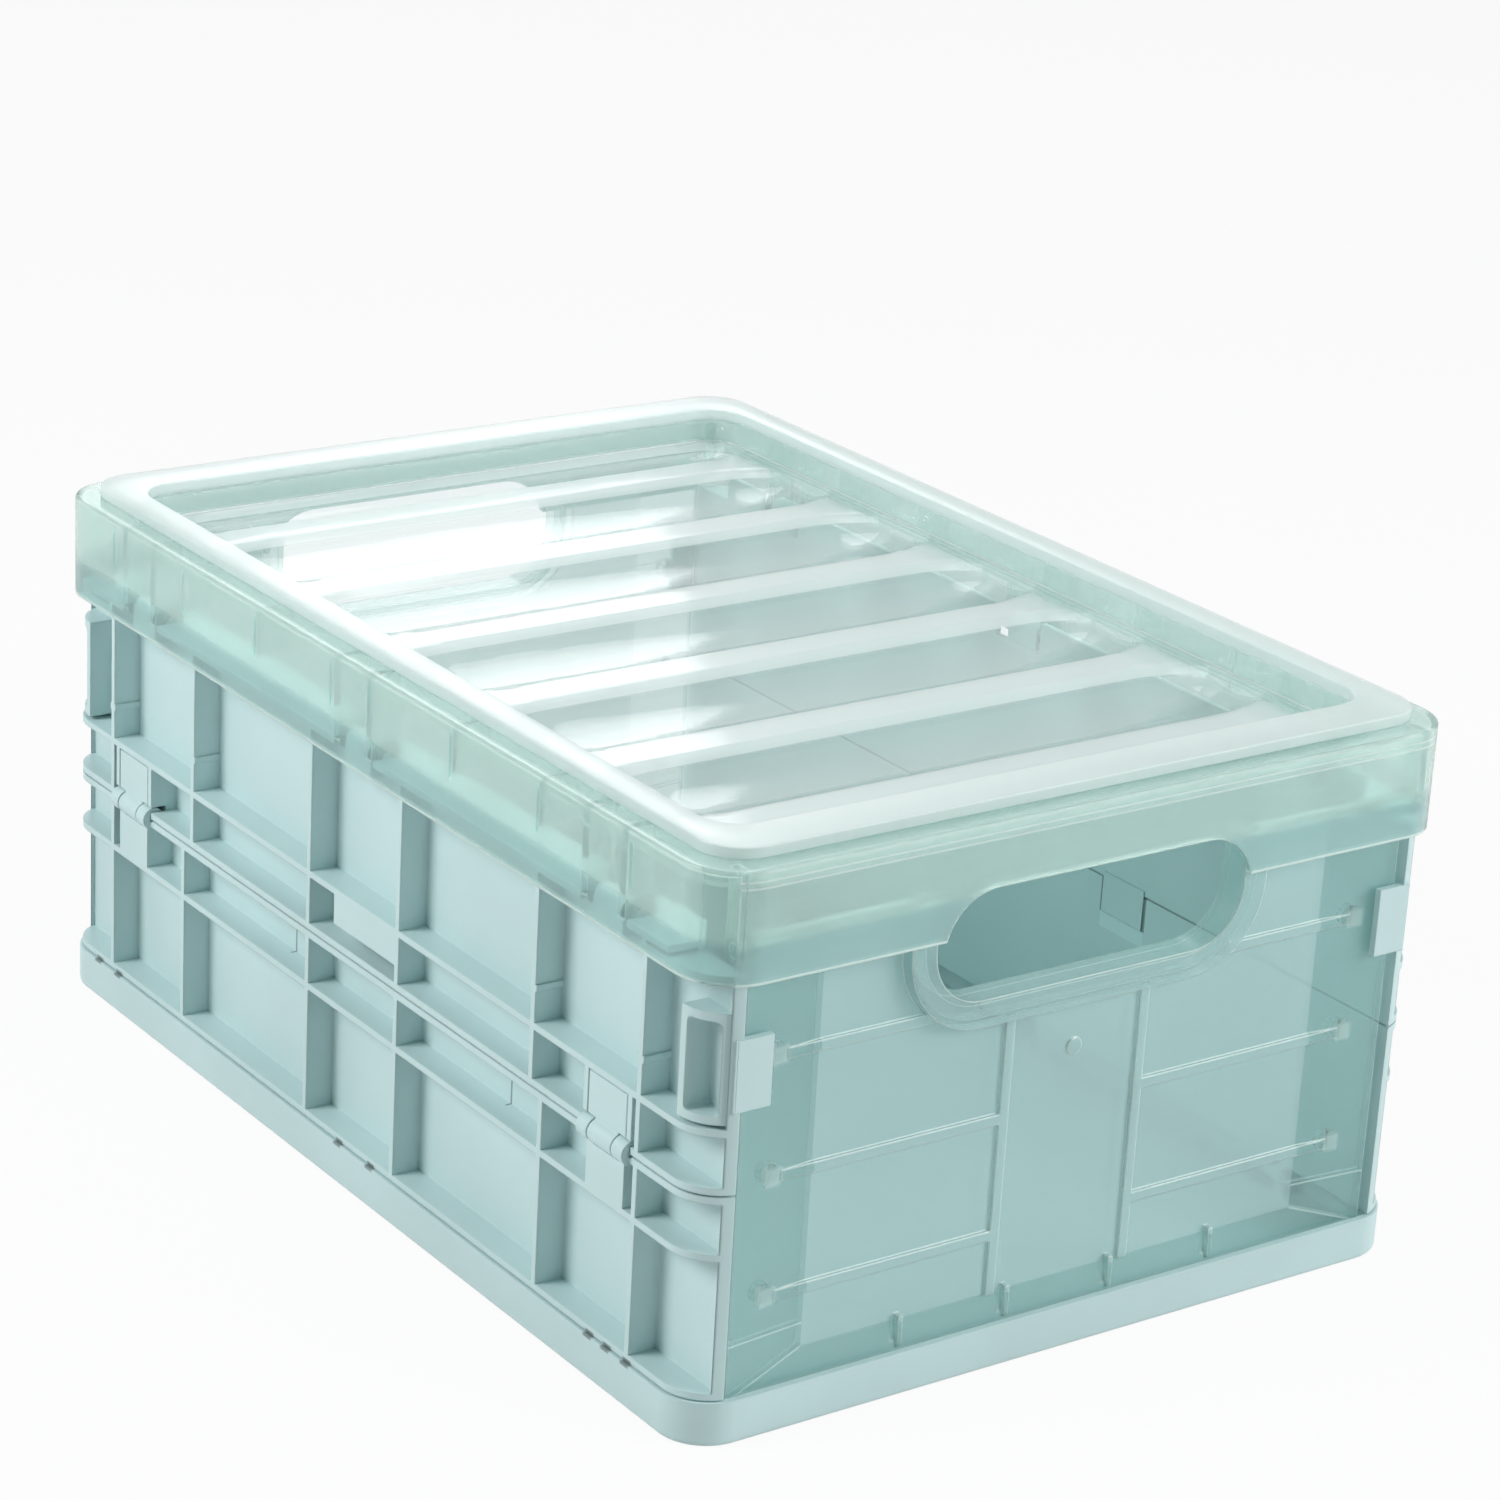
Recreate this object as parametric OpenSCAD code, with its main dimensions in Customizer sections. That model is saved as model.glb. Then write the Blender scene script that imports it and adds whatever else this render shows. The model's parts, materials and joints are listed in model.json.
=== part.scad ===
// Folding brooder box: an opaque base with hinged long sides, a translucent rim
// with swing-in ends, and a clear corrugated lid that sits inside the rim.
// Frame: X along the length, Y across the width, Z up, origin at the bottom centre.
// Left is -Y, right is +Y, front is +X and back is -X.
// The right side and the back end are the left side and the front end turned half round.

/* [Box] */
// Length over the rim
box_length = 360; // [350:1:420]
// Width over the rim
box_width = 250; // [240:1:300]
// Height to the top face of the rim
box_height = 162; // [160:1:180]
// Corner radius of the rim in plan
corner_radius = 16; // [14:0.5:20]
// Gap between pieces that move past each other
running_gap = 0.4; // [0.3:0.05:0.5]
// Radial clearance of a hinge pin in its bores
pin_clearance = 0.05; // [0.02:0.01:0.09]

/* [Base tray] */
// Height of the base wall
base_height = 13; // [12.5:0.5:15]
// Thickness of the base wall
base_wall = 2.2; // [1.8:0.1:2.6]
// Thickness of the base floor
base_floor = 2; // [1.6:0.1:2.2]
// Inset of the base from the rim in plan
base_inset = 1.5; // [1:0.1:2]
// Height of the lower hinge axis above the ground
base_pivot_height = 8; // [7.8:0.1:8.4]

/* [Long sides] */
// Depth of a long side from its skin to its rib edges
side_depth = 10.6; // [10:0.1:11]
// Thickness of the skin
side_skin = 2; // [1.6:0.1:2.2]
// Thickness of the shelves that run along a side
side_shelf = 2; // [1.6:0.1:2.4]
// Thickness of the upright ribs
side_rib = 2; // [1.6:0.1:2.4]
// Gap along the fold between the two halves
split_gap = 0.6; // [0.5:0.1:0.8]
// Distance of the outer upright ribs from the ends of the side
outer_rib_inset = 30.6; // [28.6:0.5:31.6]
// Place of the second pair of upright ribs on the lower half as a share of the outer pair's
lower_middle_rib_share = 0.687; // [0.66:0.001:0.72]
// Place of the second pair of upright ribs on the upper half as a share of the outer pair's
upper_middle_rib_share = 0.65; // [0.6:0.001:0.68]
// Place of the inner pair of upright ribs as a share of the outer pair's
inner_rib_share = 0.17; // [0.14:0.01:0.2]
// Distance of the long stiffening rib from the fold
stiffener_offset = 17.5; // [16:0.5:20]
// Depth of the base and top hinge axes behind the rib edges
pivot_depth = 5.1; // [4.8:0.1:5.4]
// Rise of the upper skin above the top hinge axis
top_lip = 5; // [4:0.5:5.2]
// Length of each corner wing that stays below the end pivots
wing_length = 19.6; // [18:0.2:22]
// Thickness of the rib that closes each end of a side
wing_end_rib = 1.6; // [1.2:0.1:2]
// Overlap of the wings behind the skirt
wing_lap = 2; // [1:0.5:2.5]

/* [Wing fittings] */
// Width of the pocket in each upper wing
pocket_width = 8.5; // [7:0.5:9]
// Height of the pocket
pocket_height = 26; // [22:1:28]
// Wall around the pocket
pocket_wall = 2.4; // [2:0.1:2.6]
// Corner radius of the pocket
pocket_radius = 1.6; // [1:0.1:2.5]
// Depth of the pocket frame's face behind the shelf edges
pocket_set_back = 0.6; // [0.4:0.1:1]
// Height of the pocket's lower edge above the fold
pocket_rise = 22; // [20:1:24]
// Reach of a locking tab past the side skin
tab_reach = 9; // [8:0.5:12]
// Height of a locking tab
tab_height = 20; // [16:1:24]
// Thickness of a locking tab
tab_thickness = 2; // [1.6:0.1:2.2]
// Height of the tab's lower edge above the fold
tab_rise = 23.5; // [20:0.5:26]
// Width of the plain tag plate under the upper stiffener
tag_width = 35; // [30:1:36]
// Height of the tag plate
tag_height = 9; // [7:0.5:11]
// Thickness of the tag plate
tag_thickness = 1.6; // [1.2:0.1:2]
// Height of the bead on the outer upright ribs
bead_height = 2; // [1.5:0.1:2.5]
// Swell of the bead past each face of its rib
bead_swell = 0.6; // [0.4:0.1:0.8]

/* [Hinges] */
// Distance of the outer base and top hinges from the ends of the side
hinge_inset = 49.6; // [47.6:1:57.6]
// Width of a hinge knuckle
knuckle_width = 14; // [12:0.5:15]
// Radius of a hinge knuckle
knuckle_radius = 3.6; // [3.2:0.1:3.7]
// Thickness of the lugs beside a knuckle
lug_thickness = 3; // [2.5:0.1:3.2]
// Radius of the lugs
lug_radius = 4; // [3.6:0.1:4.2]
// Radius of the base and top hinge pins
hinge_pin_radius = 1.5; // [1.2:0.1:1.8]
// Distance of the fold hinges from the ends of the side
clip_inset = 44.6; // [43.6:0.5:47.6]
// Width of a hinge clip
clip_width = 18; // [16:0.5:18]
// Thickness of a hinge clip's plate
clip_thickness = 2; // [1.6:0.1:2.2]
// Width of each ear beside a clip's barrel
ear_width = 5; // [4:0.1:5.5]
// Reach of each ear past the side of its clip
ear_overhang = 2; // [1:0.1:2]
// Radius of the ears and the barrel
ear_radius = 3.5; // [3:0.1:3.6]
// Depth of the fold axis behind the rib edges
fold_pivot_depth = 1.1; // [1:0.05:1.4]
// Radius of the fold hinge pins
fold_pin_radius = 1.2; // [1:0.1:1.5]

/* [Rim] */
// Height of the skirt
skirt_height = 31; // [29:0.5:33]
// Wall thickness of the rim
rim_wall = 2; // [1.6:0.1:2.2]
// Thickness of the rim's top flange
rim_flange = 2; // [1.6:0.1:2.4]
// Height of the inner wall that hangs round the lid opening
inner_wall_height = 10; // [8:0.5:11]
// Thickness of the fins behind the skirt
fin_thickness = 1.5; // [1.2:0.1:2]
// Height of the fins
fin_height = 13; // [10:0.5:15]
// Place of the inner fins as a share of half the box's length
inner_fin_share = 0.3; // [0.27:0.01:0.33]
// Place of the outer fins as a share of half the box's length
outer_fin_share = 0.544; // [0.51:0.002:0.58]

/* [Ends] */
// Thickness of an end's sheet
end_sheet = 2.2; // [1.8:0.1:2.4]
// Gap between an end's edge and the long side
end_side_gap = 1.8; // [1.7:0.1:2.5]
// Width of the sloped band along each side of an end
band_width = 25; // [20:1:28]
// Height of the sloped band along the bottom
bottom_band_height = 9; // [7:0.5:11]
// Rise of the bands from the sunken field to the border
band_rise = 2.4; // [2:0.1:2.6]
// Lap of an end behind the base wall
end_lap = 2; // [1:0.5:3]
// Height of an end above its pivot
end_top_margin = 2.2; // [2:0.1:2.3]
// Drop of the end pivots below the rim's top
end_pivot_drop = 22.5; // [22:0.1:23]
// Distance of the end pivots behind the skirt's inner face
end_pivot_inset = 3.5; // [3.3:0.1:3.8]
// Radius of the pivot bosses
end_boss_radius = 3; // [2.8:0.1:3.1]
// Length of a pivot boss
end_boss_length = 10; // [8:0.5:14]
// Radius of the end pivot pins
end_pin_radius = 2; // [1.6:0.1:2.1]
// Thickness of the rim's pivot brackets
bracket_thickness = 2.6; // [2.2:0.1:3]
// Clear wall round the bore of a bracket
bracket_wall = 1.6; // [1.2:0.1:2]
// Width of the raised ribs on an end
end_rib_width = 3; // [2:0.1:4]
// Height of the raised ribs
end_rib_height = 1.2; // [0.8:0.1:1.6]
// Half width of the plain band between the two upright ribs
centre_band_half = 21.5; // [18:0.5:26]
// Height of the lowest cross rib
cross_rib_height = 38; // [34:1:42]
// Pitch of the cross ribs
cross_rib_pitch = 34.5; // [32:0.5:36]
// Reach of the cross ribs into the side bands as a share of the band's width
cross_rib_reach_share = 0.42; // [0.3:0.01:0.44]
// Radius of the gate mark
gate_radius = 2.5; // [2:0.1:3]
// Height of the gate mark
gate_height = 0.6; // [0.4:0.1:0.8]
// Radius of the round studs inside the side bands
stud_radius = 3; // [2:0.1:3.5]
// Height of the studs
stud_height = 2.6; // [2:0.1:2.8]
// Thickness of the gussets along the bottom band
gusset_thickness = 1.6; // [1.2:0.1:2]
// Pitch of the gussets
gusset_pitch = 36; // [30:1:40]

/* [Hand hole] */
// Width of the hand hole
hole_width = 104; // [90:1:112]
// Height of the hand hole
hole_height = 33; // [30:0.5:35]
// Drop of the hole's centre below the skirt's edge
hole_drop = 4; // [3:0.5:6]
// Width of the raised ring around the hole
ring_width = 8; // [6:0.5:9]
// Gap between the ring and the skirt
ring_gap = 1; // [0.8:0.1:1.4]
// Depth of the collar through the end
collar_depth = 9; // [8:0.5:9]
// Wall thickness of the ring and the collar
collar_wall = 2; // [1.6:0.1:2.2]

/* [Lid] */
// Distance of the lid's edge from the rim's edge
lid_margin = 6.5; // [5:0.5:8]
// Height of the lid's ring above the rim
lid_ring_height = 3.3; // [2.5:0.1:4.5]
// Gap under the lid's ring
lid_seat_gap = 0.2; // [0.1:0.05:0.3]
// Width of the ring at the ends
lid_ring_end = 14.5; // [12:0.5:16]
// Width of the ring along the sides
lid_ring_side = 9.5; // [8:0.5:10]
// Wall thickness of the lid
lid_wall = 1.6; // [1.2:0.1:1.8]
// Depth of the lid's pan below the ring
lid_depth = 18.3; // [16:0.1:18.4]
// Number of ridges across the pan
ridge_count = 6; // [4:1:7]
// Width of the narrow trough at each end of the pan
end_trough_width = 18; // [16:0.5:22]
// Width of a ridge
ridge_width = 12; // [9:0.5:14]
// Height of the ridges
ridge_height = 10; // [7:0.5:11]
// Corner radius of the troughs
trough_radius = 15; // [8:0.5:17]
// Distance of the troughs from the pan's wall
trough_margin = 4; // [3:0.5:6]

/* [Hidden] */
// Sides of a round face
round_sides = 64;
// Overrun of a cut past the face that it opens
overrun = 1;
// Colours of the three plastics
opaque_colour = [0.70, 0.81, 0.82];
teal_colour = [0.50, 0.75, 0.73, 0.7];
clear_colour = [0.78, 0.90, 0.88, 0.45];

// Heights of the fold and of the hinge axes: the two halves of a side are equal links
skirt_bottom = box_height - skirt_height;
fold_z = (skirt_bottom + base_height) / 2;
top_pivot_z = 2 * fold_z - base_pivot_height;
end_pivot_z = box_height - end_pivot_drop;

// Faces of the skirt and of the long sides
skirt_inner_x = box_length / 2 - rim_wall;
skirt_inner_y = box_width / 2 - rim_wall;
side_outer_x = skirt_inner_x - running_gap;
side_outer_y = skirt_inner_y - running_gap;
side_inner_y = side_outer_y - side_depth;
side_radius = corner_radius - rim_wall - running_gap;
pivot_y = side_outer_y - pivot_depth;
fold_pivot_y = side_outer_y - fold_pivot_depth;

// Lower and upper halves of a long side
lower_bottom = base_height + running_gap;
lower_top = fold_z - split_gap / 2;
lower_stiffener_z = fold_z - stiffener_offset - side_shelf / 2;
upper_bottom = fold_z + split_gap / 2;
upper_stiffener_z = fold_z + stiffener_offset - side_shelf / 2;
upper_top = top_pivot_z + top_lip;
wing_top = skirt_bottom + wing_lap;
flat_half = side_outer_x - wing_length;
pocket_end = side_outer_x - wing_end_rib / 2;
outer_rib_place = side_outer_x - outer_rib_inset;
lower_middle_rib_place = lower_middle_rib_share * outer_rib_place;
upper_middle_rib_place = upper_middle_rib_share * outer_rib_place;
inner_rib_place = inner_rib_share * outer_rib_place;
bead_places = [-outer_rib_place, -upper_middle_rib_place, upper_middle_rib_place, outer_rib_place];
lower_rib_places = [
    -outer_rib_place, -lower_middle_rib_place, -inner_rib_place,
    inner_rib_place, lower_middle_rib_place, outer_rib_place
];
upper_rib_places = concat(bead_places, [-inner_rib_place, inner_rib_place]);
bead_z = upper_stiffener_z + side_shelf + tag_height;

// Hinge places and widths
hinge_place = side_outer_x - hinge_inset;
clip_place = side_outer_x - clip_inset;
hinge_places = [-hinge_place, 0, hinge_place];
clip_places = [-clip_place, clip_place];
hinge_width = knuckle_width + 2 * (running_gap + lug_thickness);
hinge_notch_width = hinge_width + 2 * running_gap;
ear_row_width = clip_width + 2 * ear_overhang;
barrel_width = ear_row_width - 2 * (ear_width + running_gap);
hinge_bore_radius = hinge_pin_radius + pin_clearance;
fold_bore_radius = fold_pin_radius + pin_clearance;
end_bore_radius = end_pin_radius + pin_clearance;

// Planes of an end, from the locking tabs inward
tab_x = side_outer_x - tab_thickness;
end_face_x = tab_x - running_gap;
field_x = end_face_x - band_rise;
end_inner_x = field_x - end_sheet;
ring_front_x = skirt_inner_x - ring_gap;
collar_back_x = ring_front_x - collar_depth;
end_pivot_x = skirt_inner_x - end_pivot_inset;
end_half = side_inner_y - end_side_gap;
end_bottom = base_height - end_lap;
end_top = end_pivot_z + end_top_margin;
field_bottom = end_bottom + bottom_band_height;
field_half = end_half - band_width;
hole_z = skirt_bottom - hole_drop;
hole_radius = hole_height / 2;
stud_y = end_half - band_width / 2;
cross_rib_length = field_half + cross_rib_reach_share * band_width - centre_band_half;
cross_rib_heights = [for (i = [0 : 2]) cross_rib_height + i * cross_rib_pitch];
bracket_y = end_half + end_side_gap + running_gap;
bracket_radius = end_bore_radius + bracket_wall;

// Lid levels and plan
lid_seat_z = box_height + lid_seat_gap;
lid_top = lid_seat_z + lid_ring_height;
pan_bottom = lid_top - lid_depth;
ridge_z = pan_bottom + ridge_height;
lid_length = box_length - 2 * lid_margin;
lid_width = box_width - 2 * lid_margin;
lid_radius = corner_radius - lid_margin / 2;
pan_length = lid_length - 2 * lid_ring_end;
pan_width = lid_width - 2 * lid_ring_side;
pan_radius = lid_radius - lid_margin / 2;
opening_length = pan_length + 2 * (lid_wall + running_gap);
opening_width = pan_width + 2 * (lid_wall + running_gap);
opening_radius = pan_radius + lid_wall + running_gap;
trough_length = pan_width - 2 * trough_margin;
end_trough_x = pan_length / 2 - trough_margin - end_trough_width / 2;
outer_ridge_x = end_trough_x - end_trough_width / 2 - ridge_width / 2;
ridge_pitch = 2 * outer_ridge_x / (ridge_count - 1);
middle_trough_width = ridge_pitch - ridge_width;

// Half turn that makes the right side or the back end
module half_turn() {
    rotate([0, 0, 180]) children();
}

// Rectangle with round corners, centred
module rounded_rect(length, width, radius) {
    square([length - 2 * radius, width], center = true);
    square([length, width - 2 * radius], center = true);
    for (x = [-1, 1], y = [-1, 1])
        translate([x * (length / 2 - radius), y * (width / 2 - radius)])
            circle(r = radius, $fn = round_sides);
}

// Upright block with round corners between two heights
module rounded_prism(length, width, radius, bottom, top) {
    translate([0, 0, bottom])
        linear_extrude(height = top - bottom)
            rounded_rect(length, width, radius);
}

// Round rod along X
module x_rod(x_start, x_end, y, z, radius) {
    translate([x_start, y, z])
        rotate([0, 90, 0])
            cylinder(h = x_end - x_start, r = radius, $fn = round_sides);
}

// Round rod along Y
module y_rod(x, y_start, y_end, z, radius) {
    translate([x, y_end, z])
        rotate([90, 0, 0])
            cylinder(h = y_end - y_start, r = radius, $fn = round_sides);
}

// Outline in the Y-Z plane, drawn out along X
module x_extrude(x_start, x_end) {
    translate([x_start, 0, 0])
        rotate([90, 0, 90])
            linear_extrude(height = x_end - x_start)
                children();
}

// Block on the left side: depths run inward from the rib edges
module side_block(x_start, x_end, depth_start, depth_end, bottom, top) {
    translate([x_start, depth_start - side_outer_y, bottom])
        cube([x_end - x_start, depth_end - depth_start, top - bottom]);
}

// Plan of the left side with its two round corners
module side_plan() {
    intersection() {
        rounded_rect(2 * side_outer_x, 2 * side_outer_y, side_radius);
        translate([-side_outer_x, -side_outer_y])
            square([2 * side_outer_x, side_depth]);
    }
}

// Skin of the left side between two heights, with its ends cut to the round corners
module full_skin(bottom, top) {
    translate([0, 0, bottom])
        linear_extrude(height = top - bottom)
            intersection() {
                side_plan();
                translate([-side_outer_x, -side_inner_y - side_skin])
                    square([2 * side_outer_x, side_skin]);
            }
}

// Shelf that runs the whole length of the left side
module full_shelf(bottom) {
    translate([0, 0, bottom])
        linear_extrude(height = side_shelf)
            side_plan();
}

// Ribs that close the two ends of the left side between two heights
module wing_ends(bottom, top) {
    translate([0, 0, bottom])
        linear_extrude(height = top - bottom)
            intersection() {
                side_plan();
                for (turn = [0, 1])
                    mirror([turn, 0])
                        translate([side_outer_x - wing_end_rib, -side_outer_y])
                            square([wing_end_rib, side_depth]);
            }
}

// Knuckle of a base or top hinge with the web that ties it to its panel
module side_knuckle(x, pivot_z, web_bottom, web_top) {
    x_rod(x - knuckle_width / 2, x + knuckle_width / 2, -pivot_y, pivot_z, knuckle_radius);
    side_block(
        x - knuckle_width / 2, x + knuckle_width / 2,
        pivot_depth - knuckle_radius, pivot_depth + knuckle_radius,
        web_bottom, web_top
    );
}

// Ears of a fold hinge with their plate on the lower half
module fold_ears(x) {
    for (turn = [-1, 1])
        x_rod(
            x + turn * (ear_row_width / 2 - ear_width / 2) - ear_width / 2,
            x + turn * (ear_row_width / 2 - ear_width / 2) + ear_width / 2,
            -fold_pivot_y, fold_z, ear_radius
        );
    side_block(
        x - clip_width / 2, x + clip_width / 2,
        0, clip_thickness,
        lower_stiffener_z, lower_top
    );
    for (turn = [-1, 1])
        side_block(
            x + turn * (clip_width / 2 - side_rib / 2) - side_rib / 2,
            x + turn * (clip_width / 2 - side_rib / 2) + side_rib / 2,
            0, side_depth, lower_stiffener_z, lower_top
        );
}

// Frame that holds a hinge clip on the upper half
module clip_frame(x) {
    wall_place = clip_width / 2 + running_gap + side_rib / 2;
    for (turn = [-1, 1])
        side_block(
            x + turn * wall_place - side_rib / 2, x + turn * wall_place + side_rib / 2,
            0, side_depth, upper_bottom, upper_stiffener_z
        );
    side_block(
        x - wall_place, x + wall_place,
        clip_thickness, 2 * clip_thickness,
        upper_bottom, upper_stiffener_z
    );
}

module lower_panel() {
    notch_half = barrel_width / 2 + running_gap;
    notch_depth = fold_pivot_depth + ear_radius + running_gap;
    difference() {
        union() {
            full_skin(lower_bottom, lower_top);
            for (z = [lower_bottom, lower_stiffener_z, lower_top - side_shelf])
                full_shelf(z);
            for (x = lower_rib_places)
                side_block(
                    x - side_rib / 2, x + side_rib / 2,
                    0, side_depth, lower_bottom, lower_top
                );
            wing_ends(lower_bottom, lower_top);
            for (x = hinge_places)
                side_knuckle(x, base_pivot_height, base_pivot_height, lower_bottom + side_shelf);
            for (x = clip_places)
                fold_ears(x);
        }
        for (x = hinge_places)
            x_rod(
                x - knuckle_width / 2 - overrun, x + knuckle_width / 2 + overrun,
                -pivot_y, base_pivot_height, hinge_bore_radius
            );
        for (x = clip_places) {
            side_block(
                x - notch_half, x + notch_half,
                -overrun, notch_depth,
                fold_z - ear_radius - running_gap, lower_top + overrun
            );
            x_rod(
                x - ear_row_width / 2 - overrun, x + ear_row_width / 2 + overrun,
                -fold_pivot_y, fold_z, fold_bore_radius
            );
        }
    }
}

// Pocket block in one upper wing, before its hole is cut: its face follows the round corner
module pocket_block() {
    block_width = pocket_width + 2 * pocket_wall;
    translate([0, 0, fold_z + pocket_rise - pocket_wall])
        linear_extrude(height = pocket_height + 2 * pocket_wall)
            intersection() {
                rounded_rect(
                    2 * (side_outer_x - pocket_set_back), 2 * (side_outer_y - pocket_set_back),
                    side_radius - pocket_set_back
                );
                translate([pocket_end - block_width, -side_outer_y])
                    square([block_width, side_depth]);
            }
}

module pocket_hole() {
    translate([
        pocket_end - pocket_wall - pocket_width / 2,
        -side_inner_y - side_skin,
        fold_z + pocket_rise + pocket_height / 2
    ])
        rotate([90, 0, 0])
            linear_extrude(height = side_depth)
                rounded_rect(pocket_width, pocket_height, pocket_radius);
}

// Tab that reaches in front of an end and stops it from swinging outward
module locking_tab() {
    side_block(
        tab_x, side_outer_x,
        side_depth - side_skin, side_depth + tab_reach,
        fold_z + tab_rise, fold_z + tab_rise + tab_height
    );
}

module upper_panel() {
    notch_half = ear_row_width / 2 + running_gap;
    notch_depth = fold_pivot_depth + ear_radius + running_gap;
    hinge_notch_bottom = top_pivot_z - lug_radius - overrun;
    difference() {
        union() {
            difference() {
                union() {
                    side_block(
                        -flat_half, flat_half,
                        side_depth - side_skin, side_depth,
                        upper_bottom, upper_top
                    );
                    side_block(
                        -flat_half, flat_half,
                        0, side_depth,
                        top_pivot_z - side_shelf, top_pivot_z
                    );
                    for (x = upper_rib_places)
                        side_block(
                            x - side_rib / 2, x + side_rib / 2,
                            0, side_depth, upper_bottom, top_pivot_z
                        );
                }
                for (x = hinge_places)
                    side_block(
                        x - hinge_notch_width / 2, x + hinge_notch_width / 2,
                        -overrun, side_depth + overrun,
                        hinge_notch_bottom, upper_top + overrun
                    );
            }
            full_skin(upper_bottom, wing_top - side_shelf);
            for (z = [upper_bottom, upper_stiffener_z])
                full_shelf(z);
            for (turn = [0, 1])
                mirror([turn, 0, 0]) {
                    intersection() {
                        full_shelf(wing_top - side_shelf);
                        side_block(
                            outer_rib_place, side_outer_x,
                            0, side_depth, wing_top - side_shelf, wing_top
                        );
                    }
                    pocket_block();
                    locking_tab();
                }
            wing_ends(upper_bottom, wing_top);
            for (x = bead_places)
                side_block(
                    x - side_rib / 2 - bead_swell, x + side_rib / 2 + bead_swell,
                    0, side_depth, bead_z, bead_z + bead_height
                );
            for (x = hinge_places)
                side_knuckle(x, top_pivot_z, hinge_notch_bottom - side_shelf, top_pivot_z);
            for (x = clip_places)
                clip_frame(x);
            side_block(
                inner_rib_place - tag_width, inner_rib_place,
                0, tag_thickness,
                upper_stiffener_z - tag_height, upper_stiffener_z
            );
        }
        for (turn = [0, 1])
            mirror([turn, 0, 0])
                pocket_hole();
        for (x = hinge_places)
            x_rod(
                x - knuckle_width / 2 - overrun, x + knuckle_width / 2 + overrun,
                -pivot_y, top_pivot_z, hinge_bore_radius
            );
        for (x = clip_places)
            side_block(
                x - notch_half, x + notch_half,
                -overrun, notch_depth,
                upper_bottom - overrun, fold_z + ear_radius + running_gap
            );
    }
}

// Hinge clip: a plate on the upper half with a barrel round the fold pin
module hinge_clip(x) {
    plate_bottom = fold_z + ear_radius + running_gap;
    color(opaque_colour)
        difference() {
            union() {
                side_block(
                    x - clip_width / 2, x + clip_width / 2,
                    0, clip_thickness,
                    plate_bottom, upper_stiffener_z - running_gap
                );
                side_block(
                    x - barrel_width / 2, x + barrel_width / 2,
                    0, clip_thickness,
                    fold_z, plate_bottom + overrun
                );
                x_rod(
                    x - barrel_width / 2, x + barrel_width / 2,
                    -fold_pivot_y, fold_z, ear_radius
                );
            }
            x_rod(
                x - barrel_width / 2 - overrun, x + barrel_width / 2 + overrun,
                -fold_pivot_y, fold_z, fold_bore_radius
            );
        }
}

module hinge_pins(pivot_z) {
    color(opaque_colour)
        for (x = hinge_places)
            x_rod(x - hinge_width / 2, x + hinge_width / 2, -pivot_y, pivot_z, hinge_pin_radius);
}

module fold_pins() {
    color(opaque_colour)
        for (x = clip_places)
            x_rod(x - ear_row_width / 2, x + ear_row_width / 2, -fold_pivot_y, fold_z, fold_pin_radius);
}

// Lugs of the base or top hinges on the left side, with their bores
module hinge_lugs(pivot_z, root_z, root_depth) {
    lug_place = knuckle_width / 2 + running_gap + lug_thickness / 2;
    lug_bottom = min(pivot_z, root_z);
    lug_top = max(pivot_z, root_z);
    for (x = hinge_places, turn = [-1, 1]) {
        start = x + turn * lug_place - lug_thickness / 2;
        difference() {
            union() {
                x_rod(start, start + lug_thickness, -pivot_y, pivot_z, lug_radius);
                side_block(
                    start, start + lug_thickness,
                    root_depth, pivot_depth + lug_radius - side_skin / 2,
                    lug_bottom, lug_top
                );
            }
            x_rod(start - overrun, start + lug_thickness + overrun, -pivot_y, pivot_z, hinge_bore_radius);
        }
    }
}

module base_tray() {
    base_length = box_length - 2 * base_inset;
    base_width = box_width - 2 * base_inset;
    base_radius = corner_radius - base_inset;
    wall_depth = side_outer_y - base_width / 2 + base_wall / 2;
    color(opaque_colour) {
        difference() {
            rounded_prism(base_length, base_width, base_radius, 0, base_height);
            rounded_prism(
                base_length - 2 * base_wall, base_width - 2 * base_wall, base_radius - base_wall,
                base_floor, base_height + overrun
            );
        }
        for (turn = [0, 180])
            rotate([0, 0, turn])
                hinge_lugs(base_pivot_height, base_floor / 2, wall_depth);
    }
}

module left_lower_panel() {
    color(opaque_colour) lower_panel();
}

module right_lower_panel() {
    half_turn() left_lower_panel();
}

module left_upper_panel() {
    color(opaque_colour) upper_panel();
}

module right_upper_panel() {
    half_turn() left_upper_panel();
}

// Hand hole outlines: a slot with round ends, open at the top or at the bottom
module hand_slot(width, height, open_height) {
    radius = height / 2;
    for (y = [-1, 1])
        translate([y * (width / 2 - radius), hole_z])
            circle(r = radius, $fn = round_sides);
    translate([-width / 2 + radius, hole_z - radius])
        square([width - 2 * radius, height]);
    translate([-width / 2, min(hole_z, hole_z + open_height)])
        square([width, abs(open_height)]);
}

// Fins behind the left skirt
module skirt_fins() {
    for (share = [-outer_fin_share, -inner_fin_share, inner_fin_share, outer_fin_share])
        translate([share * box_length / 2 - fin_thickness / 2, -skirt_inner_y - rim_wall / 2, box_height - rim_flange - fin_height])
            cube([fin_thickness, skirt_inner_y - opening_width / 2, fin_height + rim_flange / 2]);
}

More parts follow.
